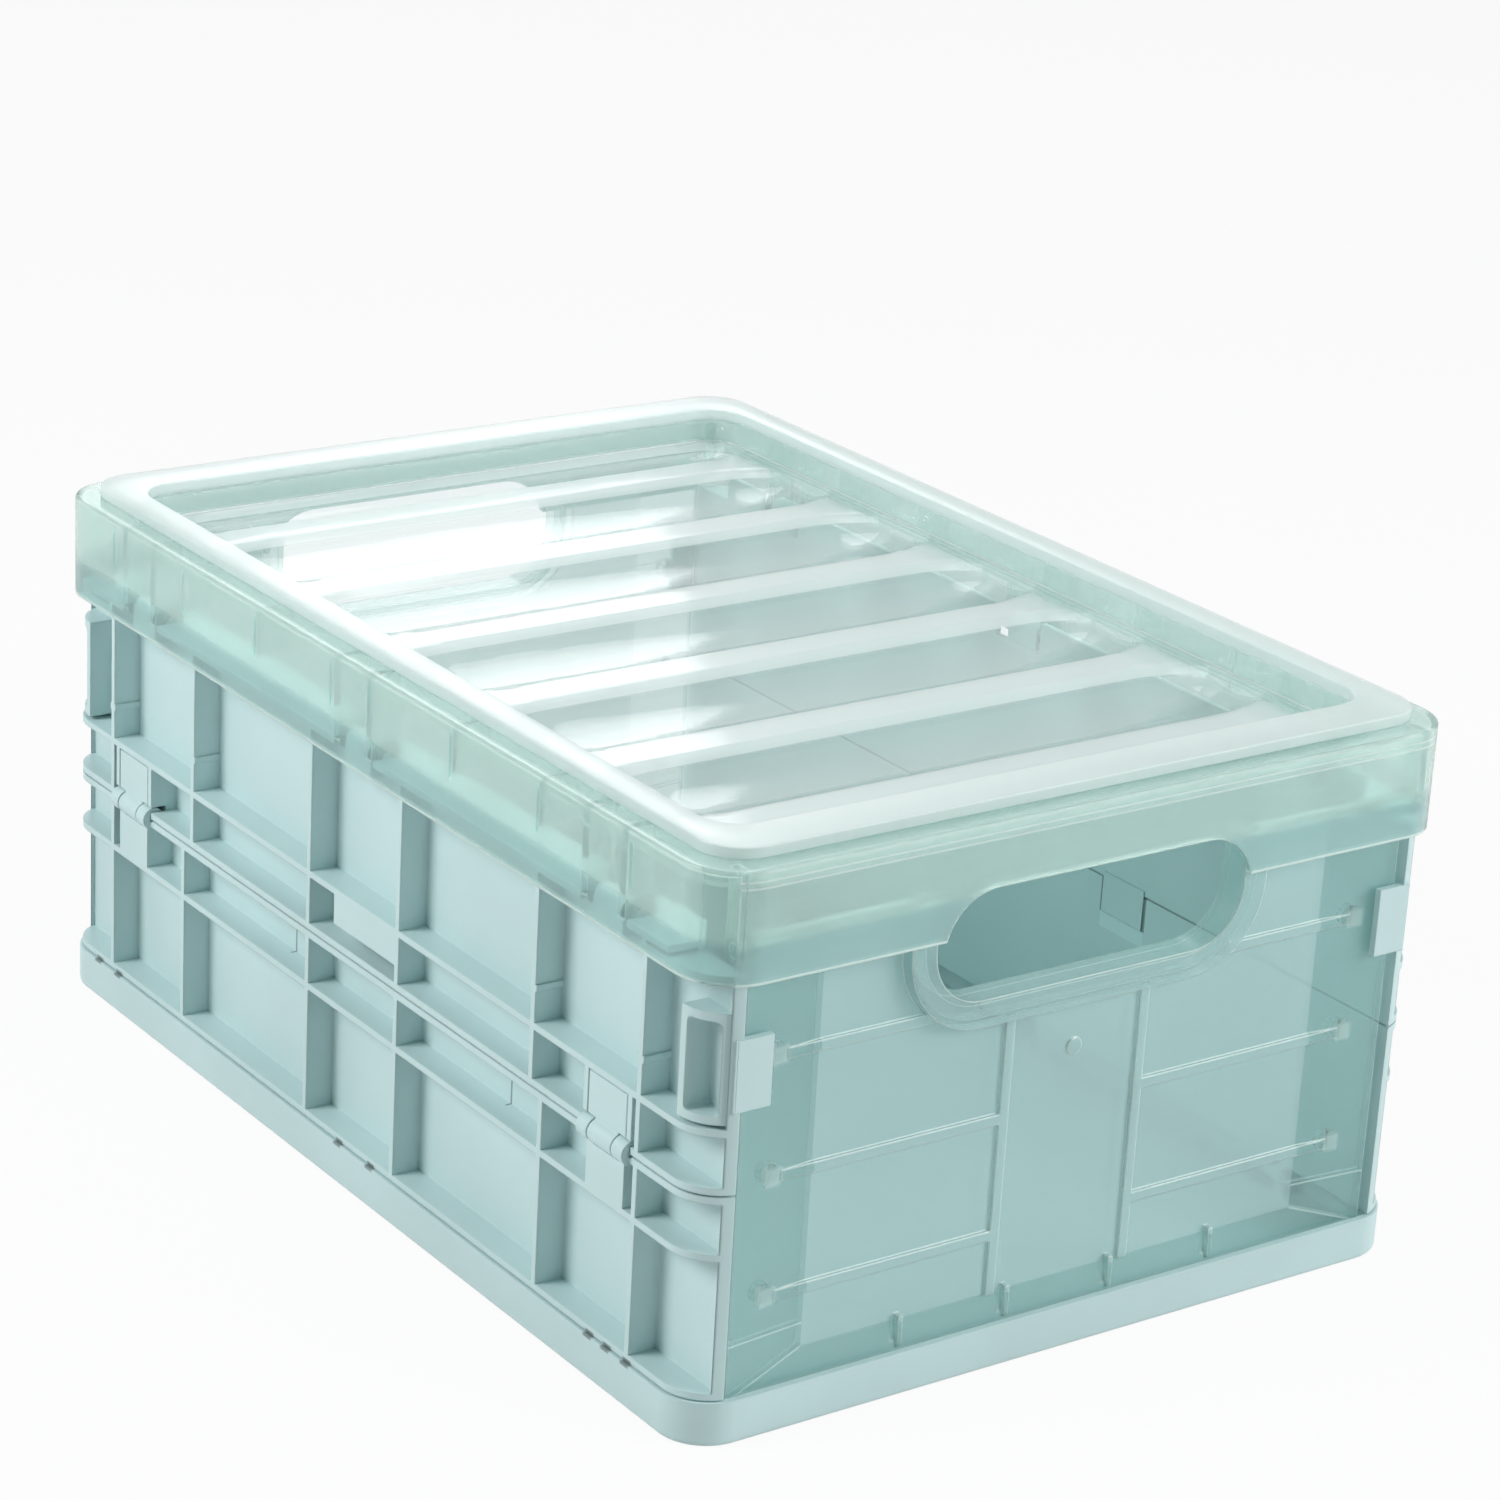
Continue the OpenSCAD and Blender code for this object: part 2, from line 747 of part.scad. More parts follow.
// Brackets that carry the front end's pivots
module end_brackets() {
    for (y = [-bracket_y - bracket_thickness, bracket_y])
        difference() {
            union() {
                y_rod(end_pivot_x, y, y + bracket_thickness, end_pivot_z, bracket_radius);
                translate([end_pivot_x - bracket_radius, y, end_pivot_z])
                    cube([
                        skirt_inner_x + rim_wall / 2 - end_pivot_x + bracket_radius,
                        bracket_thickness,
                        end_pivot_drop - rim_flange / 2
                    ]);
            }
            y_rod(end_pivot_x, y - overrun, y + bracket_thickness + overrun, end_pivot_z, end_bore_radius);
        }
}

module top_rim() {
    flange_bottom = box_height - rim_flange;
    color(teal_colour)
        difference() {
            union() {
                difference() {
                    rounded_prism(box_length, box_width, corner_radius, skirt_bottom, box_height);
                    rounded_prism(
                        box_length - 2 * rim_wall, box_width - 2 * rim_wall, corner_radius - rim_wall,
                        skirt_bottom - overrun, flange_bottom
                    );
                }
                rounded_prism(
                    opening_length + 2 * rim_wall, opening_width + 2 * rim_wall, opening_radius + rim_wall,
                    flange_bottom - inner_wall_height, box_height
                );
                for (turn = [0, 180])
                    rotate([0, 0, turn]) {
                        hinge_lugs(top_pivot_z, box_height - rim_flange / 2, -running_gap - rim_wall / 2);
                        skirt_fins();
                        end_brackets();
                    }
            }
            rounded_prism(
                opening_length, opening_width, opening_radius,
                skirt_bottom - overrun, box_height + overrun
            );
            for (turn = [0, 180])
                rotate([0, 0, turn])
                    x_extrude(skirt_inner_x - ring_gap, box_length / 2 + overrun)
                        hand_slot(hole_width, hole_height, skirt_bottom - overrun - hole_z - hole_height);
        }
}

// Sunken field with sloped bands: the room in front of an end's sheet
module end_recess(shift) {
    hull() {
        translate([field_x + shift, -field_half, field_bottom])
            cube([band_rise, 2 * field_half, end_top + overrun - field_bottom]);
        translate([end_face_x + shift, -end_half, end_bottom])
            cube([band_rise, 2 * end_half, end_top + overrun - end_bottom]);
    }
}

// Sheet of an end before the hand hole is cut
module end_sheet_body() {
    intersection() {
        difference() {
            end_recess(-end_sheet);
            end_recess(0);
        }
        translate([end_inner_x, -end_half, end_bottom])
            cube([end_face_x - end_inner_x, 2 * end_half, end_top - end_bottom]);
    }
}

// Raised ring and collar round the hand hole, open at the top
module hand_ring() {
    rise = end_top - hole_z;
    ring_outer_width = hole_width + 2 * ring_width;
    ring_outer_height = hole_height + 2 * ring_width;
    collar_width = hole_width + 2 * collar_wall;
    collar_height = hole_height + 2 * collar_wall;
    difference() {
        intersection() {
            union() {
                x_extrude(end_inner_x, ring_front_x)
                    hand_slot(ring_outer_width, ring_outer_height, rise);
                x_extrude(collar_back_x, ring_front_x)
                    hand_slot(collar_width, collar_height, rise);
            }
            translate([collar_back_x, -end_half, end_bottom])
                cube([ring_front_x - collar_back_x, 2 * end_half, end_top - end_bottom]);
        }
        difference() {
            x_extrude(end_inner_x - overrun, ring_front_x - collar_wall)
                hand_slot(ring_outer_width - 2 * collar_wall, ring_outer_height - 2 * collar_wall, rise + overrun);
            x_extrude(end_inner_x - 2 * overrun, ring_front_x)
                hand_slot(collar_width, collar_height, rise + 2 * overrun);
        }
    }
}

// Raised ribs, gate mark, studs and gussets of an end
module end_ribs() {
    rib_top = hole_z - hole_radius - ring_width + collar_wall;
    for (turn = [0, 1])
        mirror([0, turn, 0]) {
            translate([field_x - end_sheet / 2, centre_band_half, field_bottom])
                cube([end_sheet / 2 + end_rib_height, end_rib_width, rib_top - field_bottom]);
            for (z = cross_rib_heights)
                translate([field_x - end_sheet / 2, centre_band_half, z - end_rib_width / 2])
                    cube([end_sheet / 2 + end_rib_height, cross_rib_length, end_rib_width]);
            for (z = cross_rib_heights)
                translate([end_inner_x - stud_height + band_rise / 2, stud_y, z])
                    rotate([0, 90, 0])
                        cylinder(h = stud_height, r = stud_radius, $fn = round_sides);
            for (y = [gusset_pitch / 2 : gusset_pitch : field_half])
                translate([field_x - end_sheet / 2, y - gusset_thickness / 2, end_bottom + end_lap])
                    cube([band_rise + end_sheet / 2, gusset_thickness, bottom_band_height]);
        }
    translate([field_x - end_sheet / 2, 0, (cross_rib_heights[1] + rib_top) / 2])
        rotate([0, 90, 0])
            cylinder(h = end_sheet / 2 + gate_height, r = gate_radius, $fn = round_sides);
}

module front_end_panel() {
    color(teal_colour)
        difference() {
            union() {
                difference() {
                    union() {
                        end_sheet_body();
                        end_ribs();
                    }
                    x_extrude(collar_back_x - overrun, ring_front_x + overrun)
                        hand_slot(
                            hole_width + 2 * ring_width - collar_wall,
                            hole_height + 2 * ring_width - collar_wall,
                            end_top + overrun - hole_z
                        );
                }
                hand_ring();
                for (y = [-end_half, end_half - end_boss_length]) {
                    y_rod(end_pivot_x, y, y + end_boss_length, end_pivot_z, end_boss_radius);
                    translate([end_inner_x, y, end_pivot_z - end_boss_radius])
                        cube([end_pivot_x - end_inner_x, end_boss_length, end_boss_radius + end_top_margin]);
                }
            }
            x_extrude(collar_back_x - overrun, ring_front_x + overrun)
                hand_slot(hole_width, hole_height, end_top + overrun - hole_z);
            y_rod(end_pivot_x, -end_half - overrun, end_half + overrun, end_pivot_z, end_bore_radius);
        }
}

module back_end_panel() {
    half_turn() front_end_panel();
}

module front_end_pivot_pins() {
    color(teal_colour)
        for (y = [-bracket_y - bracket_thickness, end_half - end_boss_length])
            y_rod(
                end_pivot_x, y, y + bracket_y + bracket_thickness - end_half + end_boss_length,
                end_pivot_z, end_pin_radius
            );
}

module back_end_pivot_pins() {
    half_turn() front_end_pivot_pins();
}

// One trough of the lid's pan, grown by a wall and sunk from a level
module trough(x, width, grow, bottom, top) {
    radius = min(trough_radius, width / 2 - lid_wall);
    translate([x, 0, 0])
        rounded_prism(width + 2 * grow, trough_length + 2 * grow, radius + grow, bottom, top);
}

module all_troughs(grow, bottom, top) {
    for (i = [0 : ridge_count - 2])
        trough((i + 1) * ridge_pitch - outer_ridge_x - ridge_pitch / 2, middle_trough_width, grow, bottom, top);
    for (turn = [-1, 1])
        trough(turn * end_trough_x, end_trough_width, grow, bottom, top);
}

module lid() {
    color(clear_colour)
        difference() {
            union() {
                rounded_prism(lid_length, lid_width, lid_radius, lid_seat_z, lid_top);
                rounded_prism(
                    pan_length + 2 * lid_wall, pan_width + 2 * lid_wall, pan_radius + lid_wall,
                    ridge_z - lid_wall, lid_top
                );
                all_troughs(lid_wall, pan_bottom, ridge_z);
            }
            rounded_prism(pan_length, pan_width, pan_radius, ridge_z, lid_top + overrun);
            all_troughs(0, pan_bottom + lid_wall, ridge_z + overrun);
        }
}

base_tray();
left_lower_panel();
left_upper_panel();
right_lower_panel();
right_upper_panel();
top_rim();
front_end_panel();
back_end_panel();
lid();
hinge_clip(clip_place);  // left_front_hinge_clip
hinge_clip(-clip_place);  // left_back_hinge_clip
half_turn() hinge_clip(-clip_place);  // right_front_hinge_clip
half_turn() hinge_clip(clip_place);  // right_back_hinge_clip
hinge_pins(base_pivot_height);  // left_base_hinge_pins
half_turn() hinge_pins(base_pivot_height);  // right_base_hinge_pins
fold_pins();  // left_fold_hinge_pins
half_turn() fold_pins();  // right_fold_hinge_pins
hinge_pins(top_pivot_z);  // left_top_hinge_pins
half_turn() hinge_pins(top_pivot_z);  // right_top_hinge_pins
front_end_pivot_pins();
back_end_pivot_pins();
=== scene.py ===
import json
import math

import bmesh
import bpy
from mathutils import Matrix, Vector


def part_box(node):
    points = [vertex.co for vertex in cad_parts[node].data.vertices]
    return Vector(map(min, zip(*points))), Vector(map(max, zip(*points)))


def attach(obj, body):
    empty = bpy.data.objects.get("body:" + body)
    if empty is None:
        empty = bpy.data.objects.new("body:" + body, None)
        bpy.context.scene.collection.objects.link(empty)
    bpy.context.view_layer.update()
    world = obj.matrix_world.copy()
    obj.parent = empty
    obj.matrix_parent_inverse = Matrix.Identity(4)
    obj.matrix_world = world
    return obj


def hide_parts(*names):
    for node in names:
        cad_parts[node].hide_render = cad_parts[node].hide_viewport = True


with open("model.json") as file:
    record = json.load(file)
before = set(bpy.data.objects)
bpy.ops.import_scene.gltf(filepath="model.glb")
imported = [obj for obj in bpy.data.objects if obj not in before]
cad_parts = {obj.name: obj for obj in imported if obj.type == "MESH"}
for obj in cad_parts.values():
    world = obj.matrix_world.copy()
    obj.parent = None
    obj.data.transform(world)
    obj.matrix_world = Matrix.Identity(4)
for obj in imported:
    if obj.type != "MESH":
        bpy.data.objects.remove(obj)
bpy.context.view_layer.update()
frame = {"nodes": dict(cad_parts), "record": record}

bl_info = {
    "name": "Folding brooder box",
    "version": (1, 0, 0),
    "blender": (4, 5, 0),
    "location": "View3D > Sidebar > Brooder",
    "description": "Dresses the packed brooder box: soft edges, a clear ribbed lid and three plastics",
    "category": "Object",
}

MM = 0.001
NODES = frame["nodes"]
NODE_BODY = {
    node: body
    for body, members in frame["record"]["behaviour"]["bodies"].items()
    for node in members
}

PALE_NODES = (
    "base_tray",
    "left_lower_panel", "left_upper_panel",
    "right_lower_panel", "right_upper_panel",
)
CLIP_NODES = (
    "left_front_hinge_clip", "left_back_hinge_clip",
    "right_front_hinge_clip", "right_back_hinge_clip",
)
PALE_PIN_NODES = (
    "left_base_hinge_pins", "right_base_hinge_pins",
    "left_fold_hinge_pins", "right_fold_hinge_pins",
    "left_top_hinge_pins", "right_top_hinge_pins",
)
END_NODES = ("front_end_panel", "back_end_panel")
END_PIN_NODES = ("front_end_pivot_pins", "back_end_pivot_pins")

PALE_FINISH = "satin_pale_moulding"
RIM_FINISH = "frosted_teal_rim"
END_FINISH = "milky_teal_end"
LID_FINISH = "clear_lid_sheet"

# Marks are drawn this sharp, and the finest lines this thin to each side
SOFT = 0.3 * MM
HAIR = 0.2 * MM

# Rim: how far in its outer skin reaches, fin lines, the lower part that gets painted shade, and the two
# lines under the brow and the hem that get painted highlight
RIM_LOW, RIM_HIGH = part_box("top_rim")
SKIRT_INNER, SKIRT_OUTER = 2.5 * MM, 1.5 * MM
FIN_PLACES = [place * MM for place in (-142, -98, -54, -10.4, 10.4, 54, 98, 142)]
FIN_FOOT, FIN_TOP = RIM_HIGH.z - 15 * MM, RIM_HIGH.z - 4 * MM
FIN_HALF, FIN_FADE = 0.45 * MM, 2 * MM
SKIRT_SHADE_FOOT, SKIRT_SHADE_TOP = RIM_HIGH.z - 22 * MM, RIM_HIGH.z - 18 * MM
BROW_GLINT_HEIGHTS = [RIM_HIGH.z - drop * MM for drop in (3.0, 4.8)]
HEM_FOOT, HEM_TOP = RIM_LOW.z + 0.5 * MM, RIM_LOW.z + 0.9 * MM

# Lid: the ring on the rim, and the flat tops of the ridges
LID_LOW, LID_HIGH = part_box("lid")
RING_UNDERSIDE = RIM_HIGH.z + 0.2 * MM
RING_FADE = 0.5 * MM
RIDGE_HEIGHT = LID_LOW.z + 7.6 * MM
RIDGE_DEPTH, RIDGE_FADE = 1.9 * MM, 0.4 * MM
RIDGE_REACH = LID_HIGH.y - 22 * MM
RIDGE_RUN_OUT = 8 * MM

# Ends: the field, the sloped bands round it, creases, studs and the hand hole's grip
END_LOW, END_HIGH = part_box("front_end_panel")
BAND_WIDTH, BAND_HEIGHT = 25 * MM, 9 * MM
FIELD_HALF = END_HIGH.y - BAND_WIDTH
FIELD_BOTTOM = END_LOW.z + BAND_HEIGHT
MITRE_SLOPE = BAND_HEIGHT / BAND_WIDTH
CREASE_HEIGHT = 27 * MM
STUD_HEIGHTS = [38 * MM, 72.5 * MM, 107 * MM]
STUD_PLACE = END_HIGH.y - BAND_WIDTH / 2
STUD_HALF = 1.8 * MM
HOLE_HALF, HOLE_HEIGHT = 35.5 * MM, 127 * MM
GRIP_RADIUS, GRIP_FADE = 24 * MM, 0.5 * MM

# Long sides: both faces of the skin, slits, slots and the tongue over the fold
SKIN_INSIDE, SKIN_OUTSIDE = 112 * MM, 114 * MM
SKIN_REACH, SKIN_FADE = 1.6 * MM, 0.4 * MM
SLIT_PLACES = [place * MM for place in (46, -73.5)]
SLIT_FOOT, SLIT_TOP, SLIT_HALF = 55 * MM, 63 * MM, 0.25 * MM
SLOT_PLACES = [place * MM for place in (155, 142, 4, -14, -129.5, -138, -147.5)]
SLOT_FOOT, SLOT_TOP, SLOT_HALF = 12.4 * MM, 14 * MM, 1.3 * MM
SLOT_FROM, SLOT_FULL = RIM_HIGH.y - 6 * MM, RIM_HIGH.y - 5 * MM
FOLD_HEIGHT = 72 * MM
TONGUE_SIDES = (50 * MM, 70 * MM)
TONGUE_FOOT, TONGUE_TIP = 61 * MM, 56 * MM
TONGUE_GROOVE, TONGUE_INSET = 0.35 * MM, 0.5 * MM
TONGUE_TOP = FOLD_HEIGHT + 2 * MM
# Lowest and highest edge of each plate, and its two faces measured from the skin's inside
TONGUE_PLATES = (
    (TONGUE_FOOT, TONGUE_TOP, -0.4 * MM, -0.1 * MM),
    (FOLD_HEIGHT + 0.8 * MM, TONGUE_TOP, -0.2 * MM, 0.3 * MM),
)

# Patterns: where clouds and edges start to show and show in full, and the draw of the lid's streaks
CLOUD_FROM, CLOUD_FULL = 0.3, 0.7
EDGE_FROM, EDGE_FULL, EDGE_SAMPLES = 0.02, 0.25, 4
TEAL_EDGE_REACH = 1.5
STREAK_DRAW = (1.0, 0.12, 1.0)

# Pale plastic: its tones, and what moves its roughness and its relief
PALE_DULL, PALE_BRIGHT = 0.96, 1.03
FLOW_ROUGHENS, WEAR_POLISHES = 0.12, 0.08
FLOW_HEIGHT, GROOVE_DEPTH = 1.5, 4

# Shares of milk, brightness and gloss that the finishes add where their masks are 1. Edge milk and the
# brightness of the brow lines, hem, creases and studs are painted highlight, brow milk is painted light on
# the rim's upper part, and skirt milk softens the painted shade of the end skirts' lower part.
TEAL_ROUGH, LID_ROUGH, ROUGH_VARIES = 0.3, 0.25, 0.1
CLOUD_MILK, LID_CLOUD_MILK = 0.05, 0.03
EDGE_HIGHLIGHT_MILK, LID_EDGE_HIGHLIGHT_MILK = 0.6, 0.35
LINE_MILK, LINE_COVER = 0.35, 0.85
BROW_LIGHT_MILK, SKIRT_MILK = 0.1, 0.22
BROW_GLINT_HIGHLIGHT, HEM_HIGHLIGHT = 0.6, 0.7
GRIP_CLEARS = 0.12
CREASE_HIGHLIGHT, STUD_HIGHLIGHT = 0.5, 0.35
RING_DULLS = 0.22
GLOSS_FACING, GLOSS_GRAZING, GLOSS_POWER = 0.035, 0.45, 4
PLASTIC_IOR, FROST_IOR = 1.49, 1.15

# Rounding: angles that count as sharp, steps across a rounded edge, and how near counts as on it
BEVEL_ANGLE = math.radians(35)
CRISP_ANGLE = math.radians(40)
SHEET_ANGLE = math.radians(26)
FLAT_ANGLE = math.radians(0.2)
EDGE_STEPS, BIG_EDGE_STEPS, RING_STEPS, CORNER_STEPS = 2, 5, 3, 8
WELD = 0.002 * MM
CLOSE = 0.01 * MM
FLAT_WEIGHT = 90

# Studio: camera place from the fit, lamps, card, sky and floor
FIT_UNIT = 161.783 * MM
CAMERA_BACK, CAMERA_RIGHT, CAMERA_RISE = 8.0924 * FIT_UNIT, 0.0643 * FIT_UNIT, 0.2014 * FIT_UNIT
CAMERA_AIM = Vector((0.0, 0.0, 0.5 * FIT_UNIT))
SENSOR_WIDTH = 36.0
CLIP_NEAR, CLIP_FAR = 0.01, 50.0
LAMP_AIM = Vector((0.0, 0.0, 0.08))
# Name, place, diameter and the setting that holds the power
LAMPS = (
    ("key_lamp", (-0.5, -1.45, 1.05), 0.9, "key_power"),
    ("fill_lamp", (1.35, 0.95, 0.8), 1.0, "fill_power"),
    ("top_lamp", (0.0, 0.2, 1.7), 1.2, "top_power"),
)
CARD_CORNER = Vector((-2.42, 1.5, 0.65))
CARD_LEAN = math.radians(57)
CARD_WIDTH, CARD_LENGTH = 1.4, 2.2
SHOWN_RAYS = ("Is Camera Ray", "Is Glossy Ray", "Is Transmission Ray")
SKY_TONE = (0.62, 1.0, 0.95, 1.0)
WHITE = (1.0, 1.0, 1.0, 1.0)
FLOOR_DARK, FLOOR_LIGHT = (0.74, 0.74, 0.74, 1.0), (0.76, 0.76, 0.76, 1.0)
FLOOR_GLOW = 0.93
FLOOR_HALF = 4.0
WALLS_SEEN_THROUGH = 32


# Shader wiring


class Wire:
    """One socket of a material's nodes, with the maths that this scene uses."""

    def __init__(self, tree, socket=None):
        self.tree = tree
        self.socket = socket

    def node(self, kind, settings=None, output=0, **sockets):
        """Adds a node, applies its settings, then fills its sockets by name or number."""
        made = self.tree.nodes.new(kind)
        for name, value in (settings or {}).items():
            setattr(made, name, value)
        for name, value in sockets.items():
            feed(self.tree, find_socket(made, name), value)
        return Wire(self.tree, made.outputs[output]) if made.outputs else None

    def math(self, operation, other=0.0, swap=False):
        first, second = (other, self) if swap else (self, other)
        return self.node("ShaderNodeMath", {"operation": operation}, i0=first, i1=second)

    def __add__(self, other):
        return self.math("ADD", other)

    def __radd__(self, other):
        return self.math("ADD", other, True)

    def __sub__(self, other):
        return self.math("SUBTRACT", other)

    def __rsub__(self, other):
        return self.math("SUBTRACT", other, True)

    def __mul__(self, other):
        return self.math("MULTIPLY", other)

    def __rmul__(self, other):
        return self.math("MULTIPLY", other, True)

    def __abs__(self):
        return self.math("ABSOLUTE")

    def clamp(self, low, high):
        return self.math("MAXIMUM", low).math("MINIMUM", high)

    def band(self, low, high):
        """0 below low, 1 above high and a smooth step between."""
        return self.node(
            "ShaderNodeMapRange", {"interpolation_type": "SMOOTHSTEP"},
            Value=self, From_Min=low, From_Max=high,
        )

    def mix(self, first, second):
        """Colour mix from first to second by this value."""
        return self.node(
            "ShaderNodeMix", {"data_type": "RGBA"}, output=2,
            i0=self, i6=first, i7=second,
        )


def find_socket(node, name):
    """An input by its name, with _ for spaces, or by its number after an i."""
    if name[0] == "i" and name[1:].isdigit():
        return node.inputs[int(name[1:])]
    return node.inputs[name.replace("_", " ")]


def feed(tree, socket, value):
    if isinstance(value, Wire):
        tree.links.new(value.socket, socket)
    else:
        socket.default_value = value


def new_material(name):
    """An empty material, and a wire that starts its nodes."""
    material = bpy.data.materials.new(name)
    material.use_nodes = True
    material.node_tree.nodes.clear()
    return material, Wire(material.node_tree)


def linear(colour):
    """Scene colour of a display colour by the sRGB curve, with full alpha."""
    channels = (c / 12.92 if c <= 0.04045 else ((c + 0.055) / 1.055) ** 2.4 for c in colour)
    return (*channels, 1.0)


def scaled(colour, factor):
    return tuple(min(1.0, c * factor) for c in colour[:3]) + (1.0,)


def object_place(start):
    return start.node("ShaderNodeTexCoord", output="Object")


def parts_of(spot):
    """The three parts of a place."""
    return [spot.node("ShaderNodeSeparateXYZ", output=i, Vector=spot) for i in range(3)]


def noise(spot, scale, detail, roughness=0.5):
    return spot.node(
        "ShaderNodeTexNoise", {"noise_dimensions": "3D"},
        Vector=spot, Scale=scale, Detail=detail, Roughness=roughness,
    )


def clouds(spot, scale):
    """Slow patches from 0 to 1."""
    return noise(spot, scale, detail=3).band(CLOUD_FROM, CLOUD_FULL)


def edge_mask(spot, radius):
    """1 on edges within a radius and 0 on open faces, with the normal that rounds them."""
    rounded = spot.node("ShaderNodeBevel", {"samples": EDGE_SAMPLES}, Radius=radius)
    flat = spot.node("ShaderNodeNewGeometry", output="Normal")
    facing = spot.node(
        "ShaderNodeVectorMath", {"operation": "DOT_PRODUCT"}, output="Value", i0=rounded, i1=flat,
    )
    return (1 - abs(facing)).band(EDGE_FROM, EDGE_FULL), rounded


def relief(height, rounded, strength, depth):
    """Normal of a surface that a height raises."""
    return height.node("ShaderNodeBump", Strength=strength, Distance=depth, Height=height, Normal=rounded)


def mixed(share, first, second):
    """Shader between two others."""
    return first.node("ShaderNodeMixShader", i0=share, i1=first, i2=second)


def largest(*masks):
    total = masks[0]
    for mask in masks[1:]:
        total = total.math("MAXIMUM", mask)
    return total


def near_any(value, places, half_width):
    """1 within half_width of any of the places, fading to 0 at twice that."""
    return largest(*(1 - abs(value - place).band(half_width, 2 * half_width) for place in places))


def within(value, low, high, soft):
    """1 between low and high, fading over soft outside."""
    return value.band(low - soft, low) * (1 - value.band(high, high + soft))


# Plastics


def side_marks(spot):
    """Masks of the groove lines, slits and slots of the long sides, which get painted shade, and of the
    sloped foot of the tongue that crosses each fold, which gets painted light.
    """
    along, across, height = parts_of(spot)
    ahead = along * across.math("SIGN")
    aside = abs(across)
    inside = 1 - aside.band(SKIN_INSIDE + SOFT, SKIN_INSIDE + 2 * SOFT)
    skin = within(aside, SKIN_OUTSIDE - SKIN_FADE, SKIN_OUTSIDE + SKIN_REACH, SKIN_FADE)
    # Painted light: the tongue's sloped foot has no shape here and is painted lighter, as a lit slope
    foot = within(ahead, *TONGUE_SIDES, SOFT) * within(height, TONGUE_TIP, TONGUE_FOOT, SOFT)
    # Painted shade: dark lines along the tongue's sides, and dark slits and slots
    tongue = near_any(ahead, TONGUE_SIDES, TONGUE_GROOVE) * within(height, TONGUE_FOOT, FOLD_HEIGHT, SOFT)
    slits = near_any(ahead, SLIT_PLACES, SLIT_HALF) * within(height, SLIT_FOOT, SLIT_TOP, SOFT)
    slots = near_any(ahead, SLOT_PLACES, SLOT_HALF) * within(height, SLOT_FOOT, SLOT_TOP, SOFT)
    slots = slots * aside.band(SLOT_FROM, SLOT_FULL)
    return largest(tongue * inside, slits * skin, slots), foot * inside


def pale_plastic(looks):
    """Satin opaque moulding: soft cloudy tone, fine grain, edges painted paler as a highlight, painted
    shade in the groove lines, slits and slots, and painted light on the tongue's sloped foot.
    """
    material, start = new_material(PALE_FINISH)
    spot = object_place(start)
    patches = clouds(spot, scale=14)
    grain = noise(spot, scale=2600, detail=2)
    flow = noise(spot, scale=60, detail=4, roughness=0.6)
    edge_highlight, rounded = edge_mask(spot, looks.edge_radius)
    groove_shade, foot = side_marks(spot)
    base = linear(looks.pale_colour)
    tone = patches.mix(scaled(base, PALE_DULL), scaled(base, PALE_BRIGHT))
    # Painted highlight on the edges, painted light on the tongue's sloped foot and painted shade in the
    # groove lines, slits and slots
    for mask, cover, lightness in (
        (edge_highlight, 0.55, 1.22),
        (foot, 0.6, 1.25),
        (groove_shade, 0.75, 0.2),
    ):
        tone = (mask * cover).mix(tone, scaled(base, lightness))
    rough = looks.pale_roughness + flow * FLOW_ROUGHENS - edge_highlight * WEAR_POLISHES
    height = grain + flow * FLOW_HEIGHT - groove_shade * GROOVE_DEPTH
    normal = relief(height, rounded, strength=0.12, depth=0.4 * MM)
    surface = start.node(
        "ShaderNodeBsdfPrincipled", Base_Color=tone, Roughness=rough, IOR=PLASTIC_IOR, Normal=normal,
    )
    start.node("ShaderNodeOutputMaterial", Surface=surface)
    return material


def see_through(
    start, tint, lamp_tint, haze, tone, rough, gloss, normal, shade_and_bands=None, shade_and_band_tint=None, blur=0.0,
):
    """Thin wall: a tinted view of what lies behind, a milky body and a glossy skin.

    The view has a second tint where its mask is 1: painted shade on the rim's lower skirt, and the tint of
    the ends' bands; with a blur it is frosted.
    Lamps shine through with a tint of their own."""

    def view(colour):
        if not blur:
            return start.node("ShaderNodeBsdfTransparent", Color=linear(colour))
        return start.node(
            "ShaderNodeBsdfGlass", Color=linear(colour), Roughness=blur, IOR=FROST_IOR, Normal=normal,
        )

    behind = mixed(shade_and_bands, view(tint), view(shade_and_band_tint)) if shade_and_bands else view(tint)
    body = start.node("ShaderNodeBsdfPrincipled", Base_Color=tone, Roughness=rough, Normal=normal)
    skin = start.node("ShaderNodeBsdfGlossy", Roughness=gloss, Normal=normal)
    slant = start.node("ShaderNodeLayerWeight", output="Facing", Blend=0.5)
    shine = slant.math("POWER", GLOSS_POWER) * GLOSS_GRAZING + GLOSS_FACING
    surface = mixed(shine, mixed(haze, behind, body), skin)
    window = start.node("ShaderNodeBsdfTransparent", Color=linear(lamp_tint))
    lamp_ray = start.node("ShaderNodeLightPath", output="Is Shadow Ray")
    surface = mixed(lamp_ray, surface, mixed(haze, window, body))
    start.node("ShaderNodeOutputMaterial", Surface=surface)


